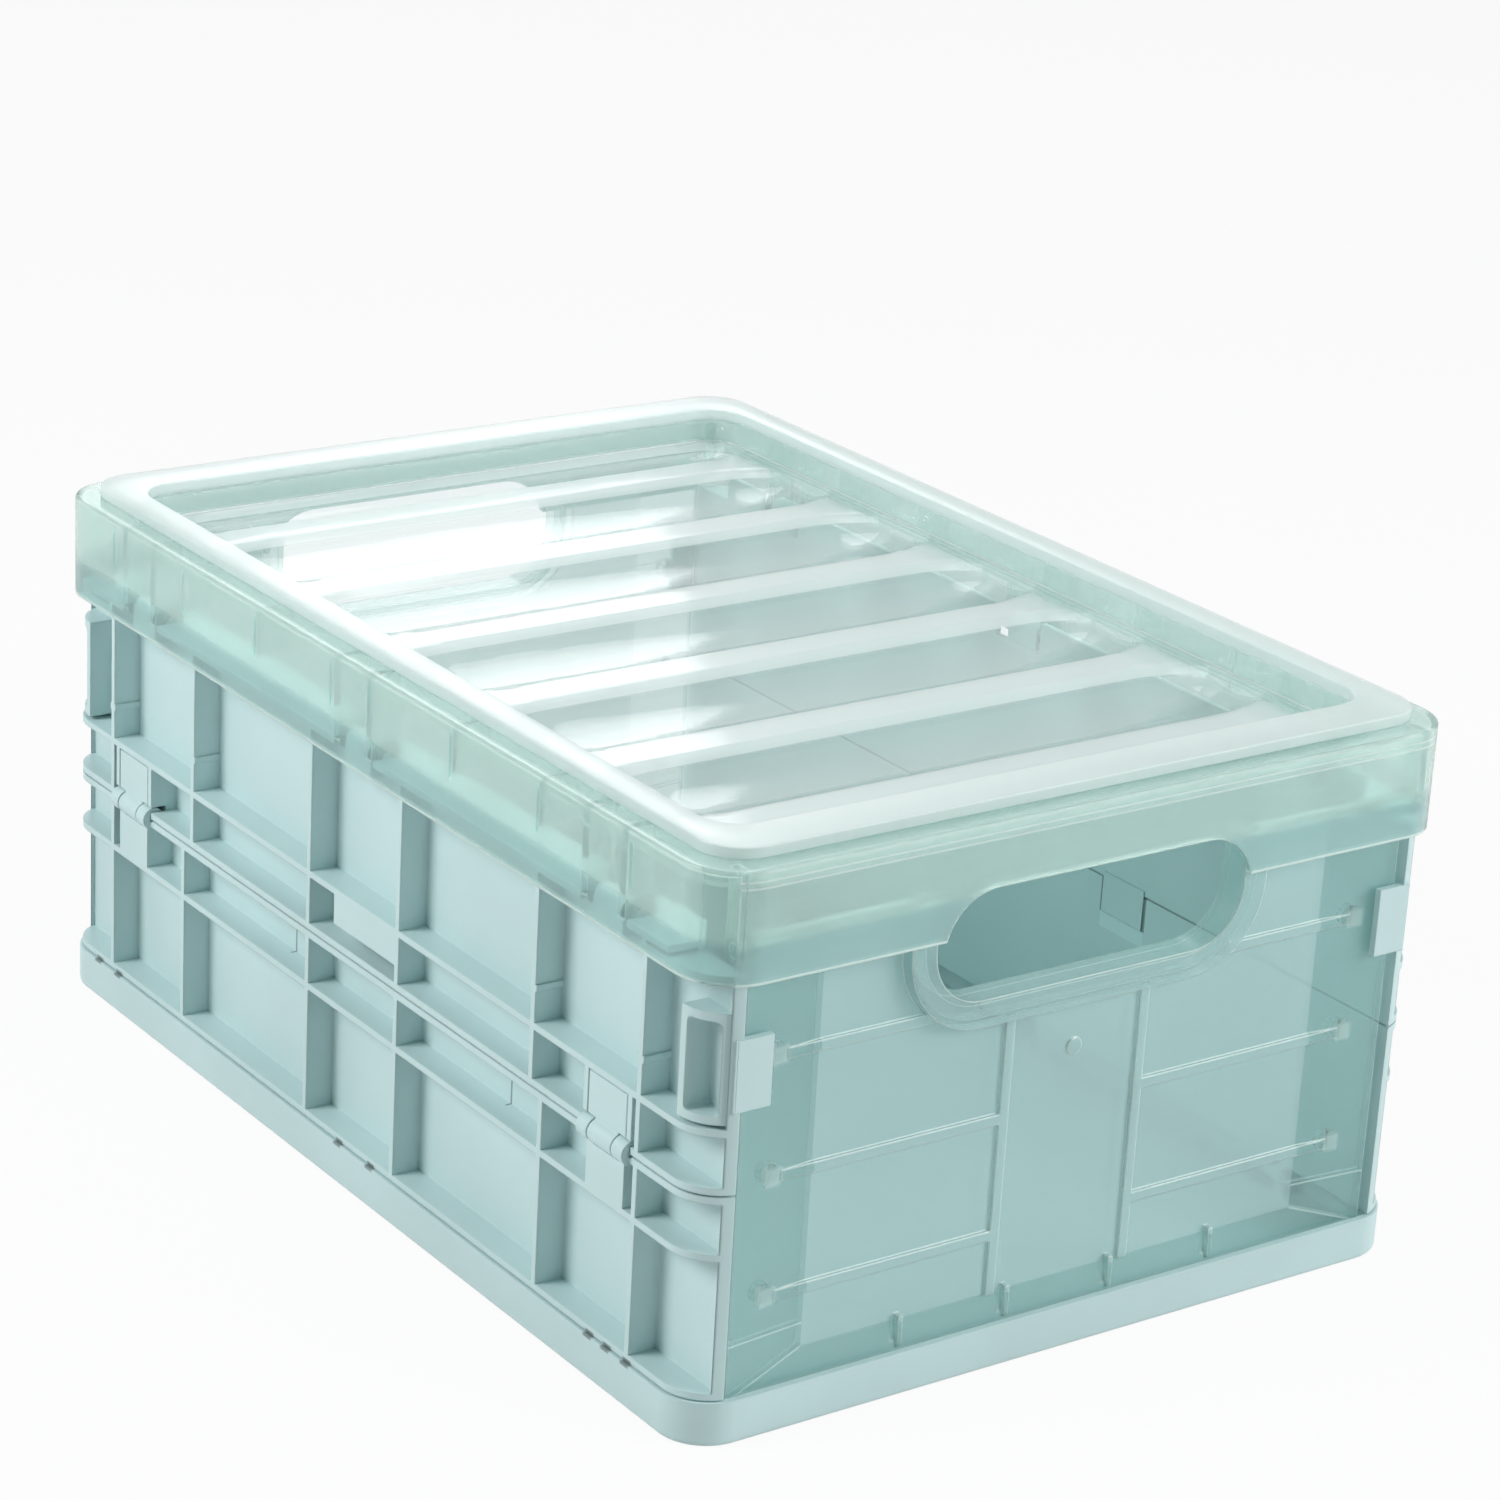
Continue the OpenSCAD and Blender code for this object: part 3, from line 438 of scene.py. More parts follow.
def teal_wall(name, looks, colour, shade_and_band_tint, masks_of, blur=0.0):
    """Milky see-through moulding: haze in slow clouds, a painted highlight of haze and a lighter tone at
    edges and marked lines, and a second tone and tint that paint shade on the rim's lower skirt and mark
    the ends' bands.
    """
    material, start = new_material(name)
    spot = object_place(start)
    flow = noise(spot, scale=45, detail=4, roughness=0.6)
    edge_highlight, rounded = edge_mask(spot, TEAL_EDGE_REACH * looks.edge_radius)
    milk, shade_and_bands, highlights, lines = masks_of(spot, looks)
    # Painted highlight: edges, the lines under the brow, the hem, the creases and the studs get a lighter
    # tone and more haze
    edge_highlight = largest(edge_highlight, highlights)
    # Painted shade: the rim's lower skirt takes the darker tone, and on the ends the same tone marks the
    # bands
    tone = shade_and_bands.mix(linear(colour), linear(looks.teal_shade_and_band_colour))
    haze = milk + clouds(spot, scale=9) * CLOUD_MILK
    if lines:
        tone = (lines * LINE_COVER).mix(tone, linear(looks.teal_line_colour))
        haze = haze + lines * LINE_MILK
    tone = edge_highlight.mix(tone, linear(looks.teal_highlight_colour))
    see_through(
        start, looks.teal_tint, looks.teal_lamp_tint,
        haze=(haze + edge_highlight * EDGE_HIGHLIGHT_MILK).clamp(0.0, 1.0),
        tone=tone,
        rough=TEAL_ROUGH + flow * ROUGH_VARIES,
        gloss=looks.teal_roughness,
        normal=relief(flow, rounded, strength=0.08, depth=0.5 * MM),
        shade_and_bands=shade_and_bands, shade_and_band_tint=shade_and_band_tint, blur=blur,
    )
    return material


def rim_masks(spot, looks):
    """Milk with painted light on the upper part, the lower part that gets painted shade, painted highlight
    lines under the brow and at the hem, and the lines where the fins meet the skirt.
    """
    along, across, height = parts_of(spot)
    side = abs(across).band(RIM_HIGH.y - SKIRT_INNER, RIM_HIGH.y - SKIRT_OUTER)
    end = abs(along).band(RIM_HIGH.x - SKIRT_INNER, RIM_HIGH.x - SKIRT_OUTER)
    outside = largest(side, end)
    # Painted shade: below this height the skirt gets a darker tone and tint
    shade_and_bands = 1 - height.band(SKIRT_SHADE_FOOT, SKIRT_SHADE_TOP)
    # Painted light: above the shaded part the outer skin gets more milk
    added = looks.rim_haze - looks.rim_inner_haze + (1 - shade_and_bands) * BROW_LIGHT_MILK
    # The end skirts' lower part gets extra milk, which softens its painted shade
    milk = looks.rim_inner_haze + outside * added + shade_and_bands * end * SKIRT_MILK
    # Painted highlight: two lines under the brow of the end skirts, and the hem
    brow_glints = near_any(height, BROW_GLINT_HEIGHTS, HAIR) * end * BROW_GLINT_HIGHLIGHT
    hem = (1 - height.band(HEM_FOOT, HEM_TOP)) * outside * HEM_HIGHLIGHT
    lines = near_any(along, FIN_PLACES, FIN_HALF) * side * within(height, FIN_FOOT, FIN_TOP, FIN_FADE)
    return milk, shade_and_bands, largest(brow_glints, hem), lines


def frosted_rim(looks):
    """Rim: frosted all over, with painted shade below."""
    return teal_wall(RIM_FINISH, looks, looks.rim_colour, looks.skirt_shade_tint, rim_masks, looks.rim_blur)


def end_masks(spot, looks):
    """Milk, the bands, painted highlight on the creases and studs, and no lines."""
    _, across, height = parts_of(spot)
    aside = abs(across)
    band = aside.band(FIELD_HALF - SOFT, FIELD_HALF + SOFT)
    field = (1 - band) * height.band(FIELD_BOTTOM - SOFT, FIELD_BOTTOM + SOFT)
    past = (aside - HOLE_HALF).math("MAXIMUM", 0.0)
    rise = height - HOLE_HEIGHT
    reach = (past * past + rise * rise).math("SQRT")
    grip = 1 - reach.band(GRIP_RADIUS, GRIP_RADIUS + GRIP_FADE)
    milk = looks.band_haze + field * (looks.field_haze - looks.band_haze) - grip * GRIP_CLEARS
    mitre = (aside - FIELD_HALF) * MITRE_SLOPE + height
    # Painted highlight: the mitre and crease lines and the studs
    creases = largest(near_any(mitre, [FIELD_BOTTOM], HAIR), near_any(height, [CREASE_HEIGHT], HAIR))
    studs = near_any(height, STUD_HEIGHTS, STUD_HALF) * near_any(aside, [STUD_PLACE], STUD_HALF)
    return milk, 1 - field, largest(creases * band * CREASE_HIGHLIGHT, studs * STUD_HIGHLIGHT), None


def end_sheet(looks):
    """Ends: a milky field between clearer sloped bands."""
    return teal_wall(END_FINISH, looks, looks.field_colour, looks.band_tint, end_masks)


def clear_plastic(looks):
    """Clear sheet with a whiter ring, ridges whitened as a painted reflection, fine drawn streaks, and
    edges lightened as a painted highlight.
    """
    material, start = new_material(LID_FINISH)
    spot = object_place(start)
    drawn = spot.node("ShaderNodeMapping", Vector=spot, Scale=STREAK_DRAW)
    streaks = noise(drawn, scale=220, detail=3, roughness=0.6)
    edge_highlight, rounded = edge_mask(spot, looks.edge_radius)
    _, across, height = parts_of(spot)
    ring = height.band(RING_UNDERSIDE - RING_FADE, RING_UNDERSIDE + RING_FADE)
    # Painted reflection: the ridges' tops get more haze
    ridges = within(height, RIDGE_HEIGHT - RIDGE_DEPTH, RIDGE_HEIGHT + SOFT, RIDGE_FADE)
    ridges = ridges * (1 - abs(across).band(RIDGE_REACH, RIDGE_REACH + RIDGE_RUN_OUT))
    # Painted highlight: edges get more haze and a lighter tone
    haze = looks.clear_haze + clouds(spot, scale=12) * LID_CLOUD_MILK + edge_highlight * LID_EDGE_HIGHLIGHT_MILK
    see_through(
        start, looks.clear_tint, looks.clear_lamp_tint,
        haze=haze + ring * looks.ring_haze + ridges * looks.ridge_reflection_haze,
        tone=edge_highlight.mix(linear(looks.clear_colour), linear(looks.clear_highlight_colour)),
        rough=LID_ROUGH + streaks * ROUGH_VARIES,
        gloss=looks.clear_roughness + ring * RING_DULLS,
        normal=relief(streaks, rounded, strength=0.15, depth=0.6 * MM),
    )
    return material


FINISHES = {
    PALE_FINISH: pale_plastic,
    RIM_FINISH: frosted_rim,
    END_FINISH: end_sheet,
    LID_FINISH: clear_plastic,
}


def plastic(name):
    """A finish by its name, made when it is first asked for."""
    return bpy.data.materials.get(name) or FINISHES[name](bpy.context.scene.brooder_looks)


# Meshes


def settle(piece, node):
    """Puts a finished piece in place of a CAD node, on the node's body."""
    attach(piece, NODE_BODY[node])
    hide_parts(node)


def make_object(name, bm, material):
    mesh = bpy.data.meshes.new(name)
    bm.to_mesh(mesh)
    bm.free()
    mesh.materials.append(material)
    piece = bpy.data.objects.new(name, mesh)
    bpy.context.scene.collection.objects.link(piece)
    return piece


def flat_faces_stay_flat(piece):
    """Large faces keep their own shading beside rounded edges."""
    weighted = piece.modifiers.new("flat_faces", "WEIGHTED_NORMAL")
    weighted.keep_sharp = True
    weighted.weight = FLAT_WEIGHT


def sharp_edges(bm, limit):
    return [edge for edge in bm.edges if edge.calc_face_angle(0.0) > limit]


def smooth_shallow(bm, limit):
    """Smooth shading, with edges sharper than the limit kept crisp."""
    for face in bm.faces:
        face.smooth = True
    for edge in sharp_edges(bm, limit):
        edge.smooth = False


def bevel(bm, geom, radius, segments, affect="EDGES", loop_slide=False):
    bmesh.ops.bevel(
        bm, geom=geom, offset=radius, offset_type="OFFSET", segments=segments, profile=0.5,
        affect=affect, clamp_overlap=True, loop_slide=loop_slide, material=-1,
    )


def at_base_foot(place):
    """On the lower edge all round the base."""
    return place.z < CLOSE


def at_rim_brow(place):
    """On the upper edge all round the rim."""
    outside = abs(place.x) > LID_HIGH.x or abs(place.y) > LID_HIGH.y
    return outside and place.z > RIM_HIGH.z - CLOSE


def soft_copy(node, radius, material, on_big_edge=None, big_radius=0.0):
    """Copy of a CAD node with its sharp edges rounded, one edge all round it more than the rest."""
    bm = bmesh.new()
    bm.from_mesh(NODES[node].data)
    bmesh.ops.remove_doubles(bm, verts=bm.verts, dist=WELD)
    bmesh.ops.dissolve_limit(
        bm, angle_limit=FLAT_ANGLE, use_dissolve_boundaries=False,
        verts=bm.verts, edges=bm.edges, delimit=set(),
    )
    if on_big_edge:
        sharp = sharp_edges(bm, BEVEL_ANGLE)
        big = [edge for edge in sharp if all(on_big_edge(vert.co) for vert in edge.verts)]
        bevel(bm, big, big_radius, BIG_EDGE_STEPS, loop_slide=True)
    bevel(bm, sharp_edges(bm, BEVEL_ANGLE), radius, EDGE_STEPS, loop_slide=True)
    smooth_shallow(bm, CRISP_ANGLE)
    piece = make_object(node + "_moulded", bm, material)
    flat_faces_stay_flat(piece)
    return piece


def rounded_loop(bm, length, width, radius, height):
    """Edges of a level rectangle with round corners."""
    made = bmesh.ops.create_grid(bm, x_segments=1, y_segments=1, size=0.5)
    bmesh.ops.scale(bm, vec=(length, width, 1.0), verts=made["verts"])
    bmesh.ops.translate(bm, vec=(0.0, 0.0, height), verts=made["verts"])
    bevel(bm, made["verts"], radius, CORNER_STEPS, affect="VERTICES")
    face = next(iter(bm.faces))
    edges = list(face.edges)
    bmesh.ops.delete(bm, geom=[face], context="FACES_ONLY")
    return edges


def closed_frame(bm, loops):
    """Bridges level loops one after another, and the last one back to the first."""
    for first, second in zip(loops, loops[1:] + loops[:1]):
        bmesh.ops.bridge_loops(bm, edges=first + second)


def pan_size(lid):
    """Length and width inside the lid's ring."""
    return LID_HIGH.x - LID_LOW.x - 2 * lid.ring_end, LID_HIGH.y - LID_LOW.y - 2 * lid.ring_side


def ridge_level(lid):
    return LID_LOW.z + lid.trough_depth + lid.wall


def lid_ring(bm, lid):
    """Flat ring with the wall that hangs from its inner edge."""
    length, width = LID_HIGH.x - LID_LOW.x, LID_HIGH.y - LID_LOW.y
    pan_length, pan_width = pan_size(lid)
    wall, lean = 2 * lid.wall, 2 * lid.draft
    foot = ridge_level(lid) - lid.wall / 2
    loops = [rounded_loop(bm, length, width, lid.corner, height) for height in (RING_UNDERSIDE, LID_HIGH.z)]
    for grown, corner, height in (
        (0.0, lid.corner - lid.wall, LID_HIGH.z),
        (-lean, lid.corner - 2 * lid.wall, foot),
        (wall - lean, lid.corner - lid.wall, foot),
        (wall, lid.corner, RING_UNDERSIDE),
    ):
        loops.append(rounded_loop(bm, pan_length + grown, pan_width + grown, corner, height))
    closed_frame(bm, loops)
    bmesh.ops.recalc_face_normals(bm, faces=bm.faces)
    bevel(bm, sharp_edges(bm, CRISP_ANGLE), lid.edge, RING_STEPS)


def trough_drop(x, y, lid, half_length, troughs):
    """How far the pan lies below its ridges at one place, as a share of the depth."""
    for centre, half_width in troughs:
        across = abs(x - centre) / half_width
        if across < 1.0:
            past = max(0.0, abs(y) - (half_length - lid.scoop)) / lid.scoop
            if past > 1.0:
                return 0.0
            reach = math.hypot(across, past * lid.scoop_rise)
            return 1.0 - reach ** lid.scoop_power if reach < 1.0 else 0.0
    return 0.0


def trough_rows(lid, pan_length):
    """Middle and half width of each trough, the two narrow ones first."""
    end_half = lid.end_trough / 2
    end_x = pan_length / 2 - lid.trough_margin - end_half
    ridge_x = end_x - end_half - lid.ridge / 2
    pitch = 2 * ridge_x / (lid.ridges - 1)
    rows = [(-end_x, end_half), (end_x, end_half)]
    for i in range(lid.ridges - 1):
        rows.append((pitch * (i + 0.5) - ridge_x, (pitch - lid.ridge) / 2))
    return rows


def lid_pan(bm, lid):
    """Ribbed sheet: a fine grid pressed into troughs, then given its thickness."""
    pan_length, pan_width = pan_size(lid)
    half_x = pan_length / 2 - lid.draft + lid.wall / 2
    half_y = pan_width / 2 - lid.draft + lid.wall / 2
    ridge = ridge_level(lid)
    troughs = trough_rows(lid, pan_length)
    half_length = pan_width / 2 - lid.trough_margin
    made = bmesh.ops.create_grid(bm, x_segments=lid.cells_along, y_segments=lid.cells_across, size=1.0)
    corner = lid.corner - lid.wall
    for vert in made["verts"]:
        x, y = vert.co.x * half_x, vert.co.y * half_y
        over_x, over_y = abs(x) - (half_x - corner), abs(y) - (half_y - corner)
        if over_x > 0 and over_y > 0 and math.hypot(over_x, over_y) > corner:
            pull = corner / math.hypot(over_x, over_y)
            x = math.copysign(half_x - corner + over_x * pull, x)
            y = math.copysign(half_y - corner + over_y * pull, y)
        drop = lid.trough_depth * trough_drop(x, y, lid, half_length, troughs)
        vert.co = (x, y, ridge - drop)
    bmesh.ops.solidify(bm, geom=list(bm.faces), thickness=lid.wall)
    bmesh.ops.recalc_face_normals(bm, faces=bm.faces)


def lid_shells(lid):
    """The lid's ring and pan, each made and shaded on its own."""
    whole = bmesh.new()
    for maker in (lid_ring, lid_pan):
        shell = bmesh.new()
        maker(shell, lid)
        smooth_shallow(shell, SHEET_ANGLE)
        step = bpy.data.meshes.new("step")
        shell.to_mesh(step)
        shell.free()
        whole.from_mesh(step)
        bpy.data.meshes.remove(step)
    return whole


def fold_tongue(side):
    """Small plate that hangs from an upper panel over the fold, on the inside of one long side."""
    bm = bmesh.new()
    start, end = sorted(side * place for place in TONGUE_SIDES)
    for low, high, inner, outer in TONGUE_PLATES:
        made = bmesh.ops.create_cube(bm, size=1.0)
        size = Vector((end - start - 2 * TONGUE_INSET, outer - inner, high - low))
        depth = SKIN_INSIDE + (inner + outer) / 2
        centre = Vector(((start + end) / 2, side * depth, (low + high) / 2))
        bmesh.ops.scale(bm, vec=size, verts=made["verts"])
        bmesh.ops.translate(bm, vec=centre, verts=made["verts"])
    return bm


# Settings


def colour_setting(name, description, default):
    return bpy.props.FloatVectorProperty(
        name=name, description=description, default=default,
        subtype="COLOR_GAMMA", size=3, min=0.0, max=1.0,
    )


def share_setting(name, description, default):
    return bpy.props.FloatProperty(
        name=name, description=description, default=default, subtype="FACTOR", min=0.0, max=1.0,
    )


def length_setting(name, description, default, most=1.0):
    return bpy.props.FloatProperty(
        name=name, description=description, default=default,
        subtype="DISTANCE", unit="LENGTH", min=0.0, max=most,
    )


def angle_setting(name, description, degrees):
    return bpy.props.FloatProperty(
        name=name, description=description, default=math.radians(degrees), subtype="ANGLE", unit="ROTATION",
    )


def power_setting(name, description, default):
    return bpy.props.FloatProperty(
        name=name, description=description, default=default, subtype="POWER", unit="POWER", min=0.0,
    )


def count_setting(name, description, default, least):
    return bpy.props.IntProperty(name=name, description=description, default=default, min=least)


class BrooderLooks(bpy.types.PropertyGroup):
    """Colours and finishes of the three plastics."""

    pale_colour: colour_setting("Pale plastic", "Opaque base and long sides", (0.785, 0.872, 0.876))
    pale_roughness: share_setting("Pale roughness", "Satin of the opaque plastic", 0.38)
    rim_colour: colour_setting("Rim plastic", "Milk of the rim's upper part", (0.83, 0.915, 0.89))
    field_colour: colour_setting("Field plastic", "Milk of the ends' fields", (0.815, 0.925, 0.93))
    # Painted highlight on the edges and marked lines of the rim and the ends
    teal_highlight_colour: colour_setting(
        "Teal edges", "Brighter edges of the rim and the ends", (0.95, 0.99, 0.97),
    )
    # Painted shade on the skirt's lower part, and the tone of the ends' bands
    teal_shade_and_band_colour: colour_setting(
        "Teal depths", "Milk of the skirt's lower part and the ends' bands", (0.72, 0.87, 0.865),
    )
    teal_line_colour: colour_setting("Teal lines", "Lines where fins meet the skirt", (0.50, 0.72, 0.71))
    teal_tint: colour_setting(
        "Teal tint", "Tint of what shows through one face of the rim or the ends", (0.945, 0.972, 0.965),
    )
    # Painted shade in the view through the skirt's lower part
    skirt_shade_tint: colour_setting("Skirt tint", "The same for the skirt's lower part", (0.865, 0.893, 0.887))
    band_tint: colour_setting("Band tint", "The same for the ends' bands", (0.94, 0.97, 0.968))
    teal_lamp_tint: colour_setting(
        "Teal lamp tint", "Tint of lamplight through one face of the rim or the ends", (0.94, 0.972, 0.97),
    )
    rim_haze: share_setting("Rim haze", "Milk of one face outside the rim", 0.2)
    rim_inner_haze: share_setting("Rim inner haze", "Milk of one face inside the rim", 0.14)
    rim_blur: share_setting("Rim frost", "Blur of what shows through the rim", 0.2)
    field_haze: share_setting("Field haze", "Milk of one face of an end's field", 0.37)
    band_haze: share_setting("Band haze", "Milk of one face of an end's sloped bands", 0.2)
    teal_roughness: share_setting("Teal roughness", "Gloss of the rim and ends", 0.16)
    clear_colour: colour_setting("Clear plastic", "Milk of the lid", (0.93, 0.965, 0.96))
    # Painted highlight on the lid's edges
    clear_highlight_colour: colour_setting("Clear edges", "Brighter edges of the lid", (0.97, 0.99, 0.985))
    clear_tint: colour_setting(
        "Clear tint", "Tint of what shows through one face of the lid", (0.99, 0.998, 0.997),
    )
    clear_lamp_tint: colour_setting(
        "Clear lamp tint", "Tint of lamplight through one face of the lid", (0.945, 0.978, 0.973),
    )
    clear_haze: share_setting("Clear haze", "Milk of one face of the lid", 0.2)
    ring_haze: share_setting("Ring haze", "Added milk of the lid's thick ring", 0.27)
    # Painted reflection on the lid's ridges
    ridge_reflection_haze: share_setting("Ridge haze", "Added milk of the lid's ridges", 0.34)
    clear_roughness: share_setting("Clear roughness", "Gloss of the lid", 0.06)
    # Reach of the edge mask that paints a highlight on the edges
    edge_radius: length_setting("Edge radius", "Reach of the worn edges", 0.6 * MM, 5 * MM)


class BrooderSizes(bpy.types.PropertyGroup):
    """Roundings of the moulded pieces."""

    pale_edge: length_setting("Pale edge", "Rounding of the opaque mouldings", 0.45 * MM, 2 * MM)
    teal_edge: length_setting("Teal edge", "Rounding of the see-through mouldings", 0.45 * MM, 2 * MM)
    base_foot: length_setting("Base foot", "Rounding of the base's lower edge", 1.8 * MM, 2 * MM)
    rim_brow: length_setting("Rim brow", "Rounding of the rim's upper edge", 1.6 * MM, 2 * MM)


class BrooderLid(bpy.types.PropertyGroup):
    """Sizes of the clear lid."""

    ring_end: length_setting("Ring at the ends", "Width of the ring at the short sides", 14.5 * MM)
    ring_side: length_setting("Ring along the sides", "Width of the ring at the long sides", 9.5 * MM)
    corner: length_setting("Corner", "Corner radius of the ring", 12.75 * MM)
    wall: length_setting("Wall", "Thickness of the sheet", 1.6 * MM)
    draft: length_setting("Draft", "Lean of the wall towards the pan", 0.5 * MM)
    edge: length_setting("Edge", "Rounding of the ring", 0.45 * MM)
    ridges: count_setting("Ridges", "Number of ridges across the pan", 6, 2)
    ridge: length_setting("Ridge", "Width of a ridge", 12 * MM)
    end_trough: length_setting("End trough", "Width of the narrow troughs", 18 * MM)
    trough_margin: length_setting("Trough margin", "Flat edge round the troughs", 2 * MM)
    trough_depth: length_setting("Trough depth", "Drop of a trough below the ridges", 6.0 * MM)
    scoop: length_setting("Scoop", "Length of the rounded end of a trough", 26 * MM)
    scoop_rise: share_setting(
        "Scoop rise", "1 brings a trough's end up to the ridges, less leaves a step at the wall", 0.72,
    )
    scoop_power: bpy.props.FloatProperty(
        name="Scoop shape", description="2 is a round trough, more is a flatter one", default=2.6, min=1.0,
    )
    cells_along: count_setting("Cells along", "Fineness of the pan along the box", 212, 8)
    cells_across: count_setting("Cells across", "Fineness of the pan across the box", 120, 8)


class BrooderStage(bpy.types.PropertyGroup):
    """Camera and lamps."""

    azimuth: angle_setting("Azimuth", "Turn of the camera round the box", 54.107)
    elevation: angle_setting("Elevation", "Height of the camera above the horizon", 20.2994)
    roll: angle_setting("Roll", "Tilt of the camera", 3.2592)
    lens: bpy.props.FloatProperty(
        name="Lens", description="Focal length in millimetres on a 36 mm sensor", default=105.327, min=10.0,
    )
    key_power: power_setting("Key lamp", "Power of the key lamp", 21.5)
    fill_power: power_setting("Fill lamp", "Power of the fill lamp", 21.0)
    top_power: power_setting("Top lamp", "Power of the top lamp", 8.0)
    back_power: power_setting("Back card", "Power of the card that the lid mirrors", 24.0)
    sky_strength: bpy.props.FloatProperty(
        name="Sky strength", description="Light from all round", default=0.11, min=0.0,
    )


# Studio


def photo_camera(stage):
    """Camera of the photograph, from the fitted viewing angle."""
    azimuth, elevation, roll = stage.azimuth, stage.elevation, stage.roll
    back = Vector((
        math.sin(azimuth) * math.cos(elevation),
        -math.cos(azimuth) * math.cos(elevation),
        math.sin(elevation),
    ))
    level = Vector((math.cos(azimuth), math.sin(azimuth), 0.0))
    rise = back.cross(level)
    right = level * math.cos(roll) + rise * math.sin(roll)
    up = rise * math.cos(roll) - level * math.sin(roll)
    place = CAMERA_AIM + CAMERA_BACK * back + CAMERA_RIGHT * level + CAMERA_RISE * rise
    camera = bpy.data.cameras.new("photo_camera")
    camera.sensor_width = SENSOR_WIDTH
    camera.lens = stage.lens
    camera.clip_start = CLIP_NEAR
    camera.clip_end = CLIP_FAR
    holder = bpy.data.objects.new("photo_camera", camera)
    turn = Matrix((right, up, back)).transposed()
    holder.matrix_world = Matrix.Translation(place) @ turn.to_4x4()
    bpy.context.scene.collection.objects.link(holder)
    bpy.context.scene.camera = holder


def add_lamp(name, shape, place, sizes, power, turn):
    """Area lamp that shines along its own downward axis."""
    lamp = bpy.data.lights.new(name, "AREA")
    lamp.shape = shape
    lamp.size, lamp.size_y = sizes
    lamp.energy = power
    holder = bpy.data.objects.new(name, lamp)
    holder.matrix_world = Matrix.Translation(place) @ turn.to_4x4()
    bpy.context.scene.collection.objects.link(holder)
    return holder


def soft_lamps(stage):
    """Round lamps aimed at the box."""
    for name, place, diameter, power in LAMPS:
        turn = (LAMP_AIM - Vector(place)).to_track_quat("-Z", "Y").to_matrix()
        add_lamp(name, "DISK", place, (diameter, diameter), getattr(stage, power), turn)


def mirror_card(stage):
    """Card behind the box, turned in its plane about its lowest corner, that only glossy skins show."""
    along = Vector((math.cos(CARD_LEAN), 0.0, math.sin(CARD_LEAN)))
    across = Vector((-math.sin(CARD_LEAN), 0.0, math.cos(CARD_LEAN)))
    centre = CARD_CORNER + along * CARD_LENGTH / 2 + across * CARD_WIDTH / 2
    turn = Matrix((across, along, across.cross(along))).transposed()
    card = add_lamp("back_card", "RECTANGLE", centre, (CARD_WIDTH, CARD_LENGTH), stage.back_power, turn)
    card.visible_diffuse = False
    card.visible_transmission = False


def seen_directly(start):
    """1 for rays that show the background: camera, glossy and transmission rays."""
    return largest(*(start.node("ShaderNodeLightPath", output=ray) for ray in SHOWN_RAYS))


def white_sky(strength):
    """White where it is seen, and a weak cool light elsewhere."""
    world = bpy.data.worlds.new("studio_sky")
    world.use_nodes = True
    world.node_tree.nodes.clear()
    shown = seen_directly(Wire(world.node_tree))
    level = shown * (1.0 - strength) + strength
    sky = shown.node("ShaderNodeBackground", Color=shown.mix(SKY_TONE, WHITE), Strength=level)
    shown.node("ShaderNodeOutputWorld", Surface=sky)
    bpy.context.scene.world = world


def pale_floor():
    """Matt floor that glows almost white where it is seen, and keeps the box's shadow."""
    material, start = new_material("studio_floor")
    shown = seen_directly(start)
    tone = noise(object_place(start), scale=3, detail=2).mix(FLOOR_DARK, FLOOR_LIGHT)
    matt = start.node("ShaderNodeBsdfDiffuse", Color=tone)
    glow = start.node("ShaderNodeEmission", Color=WHITE, Strength=1.0)
    start.node("ShaderNodeOutputMaterial", Surface=mixed(shown * FLOOR_GLOW, matt, glow))
    bm = bmesh.new()
    bmesh.ops.create_grid(bm, x_segments=1, y_segments=1, size=FLOOR_HALF)
    floor = make_object("studio_floor", bm, material)


# Operators


class BROODER_OT_base_and_sides(bpy.types.Operator):
    """Rounds and finishes the base, the panels of the long sides and their clips and tongues"""

    bl_idname = "brooder.base_and_sides"
    bl_label = "Base and sides"

    def execute(self, context):
        sizes = context.scene.brooder_sizes
        material = plastic(PALE_FINISH)
        for node in PALE_NODES + CLIP_NODES:
            on_big_edge = at_base_foot if node == "base_tray" else None
            piece = soft_copy(node, sizes.pale_edge, material, on_big_edge, sizes.base_foot)
            settle(piece, node)
        for side, body in ((-1, "left_upper"), (1, "right_upper")):
            piece = make_object(body + "_fold_tongue", fold_tongue(side), material)
            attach(piece, body)
        return {"FINISHED"}


class BROODER_OT_rim_and_ends(bpy.types.Operator):
    """Rounds and finishes the see-through rim and the two ends"""

    bl_idname = "brooder.rim_and_ends"
    bl_label = "Rim and ends"

    def execute(self, context):
        sizes = context.scene.brooder_sizes
        rim = soft_copy("top_rim", sizes.teal_edge, plastic(RIM_FINISH), at_rim_brow, sizes.rim_brow)
        settle(rim, "top_rim")
        for node in END_NODES:
            piece = soft_copy(node, sizes.teal_edge, plastic(END_FINISH))
            settle(piece, node)
        return {"FINISHED"}


class BROODER_OT_lid(bpy.types.Operator):
    """Makes the clear ribbed lid"""

    bl_idname = "brooder.lid"
    bl_label = "Lid"

    def execute(self, context):
        material = plastic(LID_FINISH)
        piece = make_object("lid_moulded", lid_shells(context.scene.brooder_lid), material)
        settle(piece, "lid")
        return {"FINISHED"}


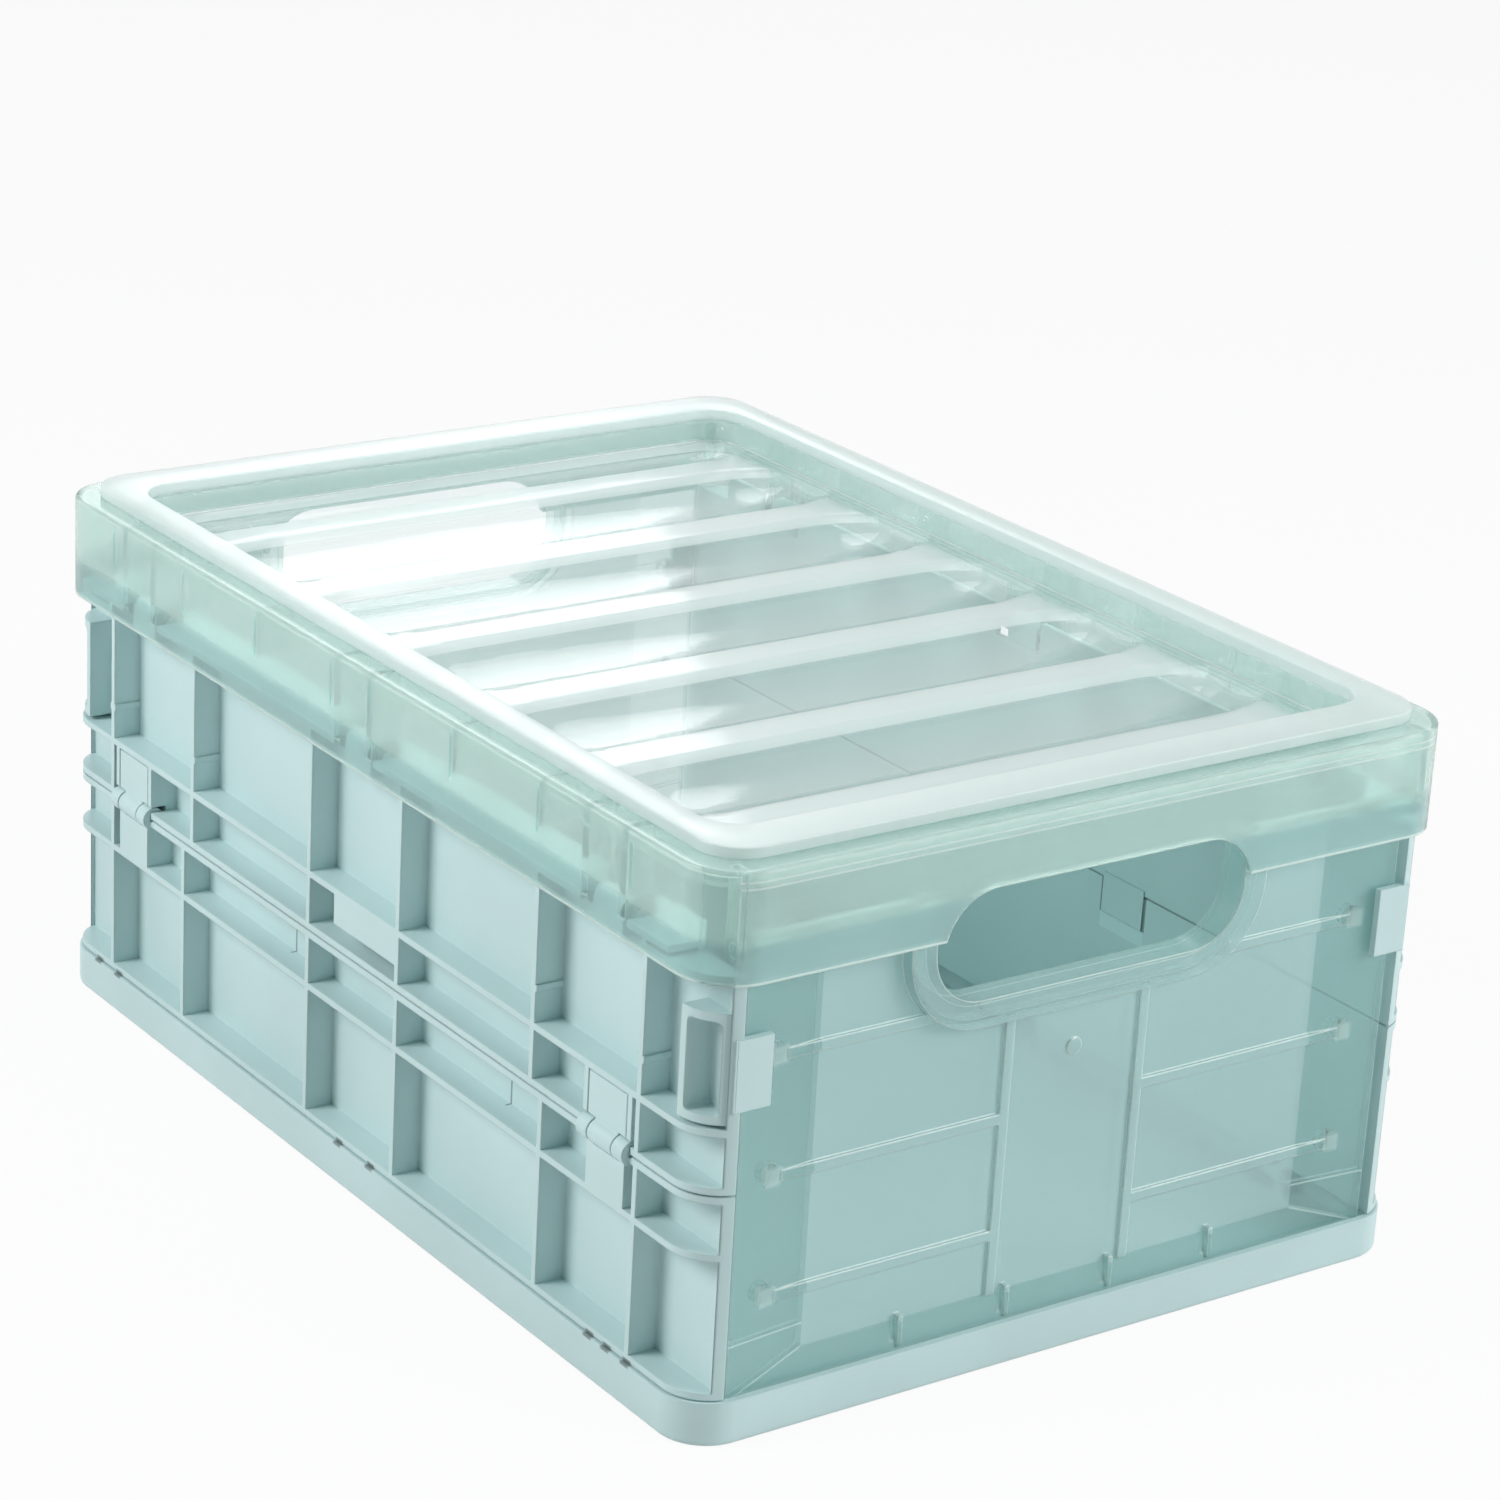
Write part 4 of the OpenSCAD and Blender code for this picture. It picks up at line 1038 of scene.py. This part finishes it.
class BROODER_OT_hinge_pins(bpy.types.Operator):
    """Gives the hinge pins the plastic of the piece that holds them"""

    bl_idname = "brooder.hinge_pins"
    bl_label = "Hinge pins"

    def execute(self, context):
        for nodes, name in ((PALE_PIN_NODES, PALE_FINISH), (END_PIN_NODES, END_FINISH)):
            material = plastic(name)
            for node in nodes:
                slots = NODES[node].material_slots
                if not slots:
                    NODES[node].data.materials.append(material)
                for slot in slots:
                    slot.material = material
        return {"FINISHED"}


class BROODER_OT_stage(bpy.types.Operator):
    """Sets the camera, the lamps, the pale floor and the white surroundings"""

    bl_idname = "brooder.stage"
    bl_label = "Stage"

    def execute(self, context):
        stage = context.scene.brooder_stage
        context.scene.view_settings.view_transform = "Standard"
        context.scene.cycles.transparent_max_bounces = WALLS_SEEN_THROUGH
        photo_camera(stage)
        pale_floor()
        white_sky(stage.sky_strength)
        soft_lamps(stage)
        mirror_card(stage)
        return {"FINISHED"}


class BROODER_PT_panel(bpy.types.Panel):
    """Sidebar list of the brooder's makers and settings"""

    bl_idname = "BROODER_PT_panel"
    bl_label = "Brooder"
    bl_space_type = "VIEW_3D"
    bl_region_type = "UI"
    bl_category = "Brooder"

    def draw(self, context):
        for maker in MAKERS:
            self.layout.operator(maker.bl_idname)
        for name, group in GROUPS.items():
            box = self.layout.box()
            for setting in group.__annotations__:
                box.prop(getattr(context.scene, name), setting)


GROUPS = {
    "brooder_looks": BrooderLooks,
    "brooder_sizes": BrooderSizes,
    "brooder_lid": BrooderLid,
    "brooder_stage": BrooderStage,
}
MAKERS = (
    BROODER_OT_base_and_sides,
    BROODER_OT_rim_and_ends,
    BROODER_OT_lid,
    BROODER_OT_hinge_pins,
    BROODER_OT_stage,
)
CLASSES = (*GROUPS.values(), *MAKERS, BROODER_PT_panel)


def register():
    for item in CLASSES:
        bpy.utils.register_class(item)
    for name, group in GROUPS.items():
        setattr(bpy.types.Scene, name, bpy.props.PointerProperty(type=group))


def unregister():
    for name in reversed(GROUPS):
        delattr(bpy.types.Scene, name)
    for item in reversed(CLASSES):
        bpy.utils.unregister_class(item)


def main():
    register()
    bpy.ops.brooder.stage()
    bpy.ops.brooder.base_and_sides()
    bpy.ops.brooder.rim_and_ends()
    bpy.ops.brooder.lid()
    bpy.ops.brooder.hinge_pins()


if __name__ == "__main__":
    main()
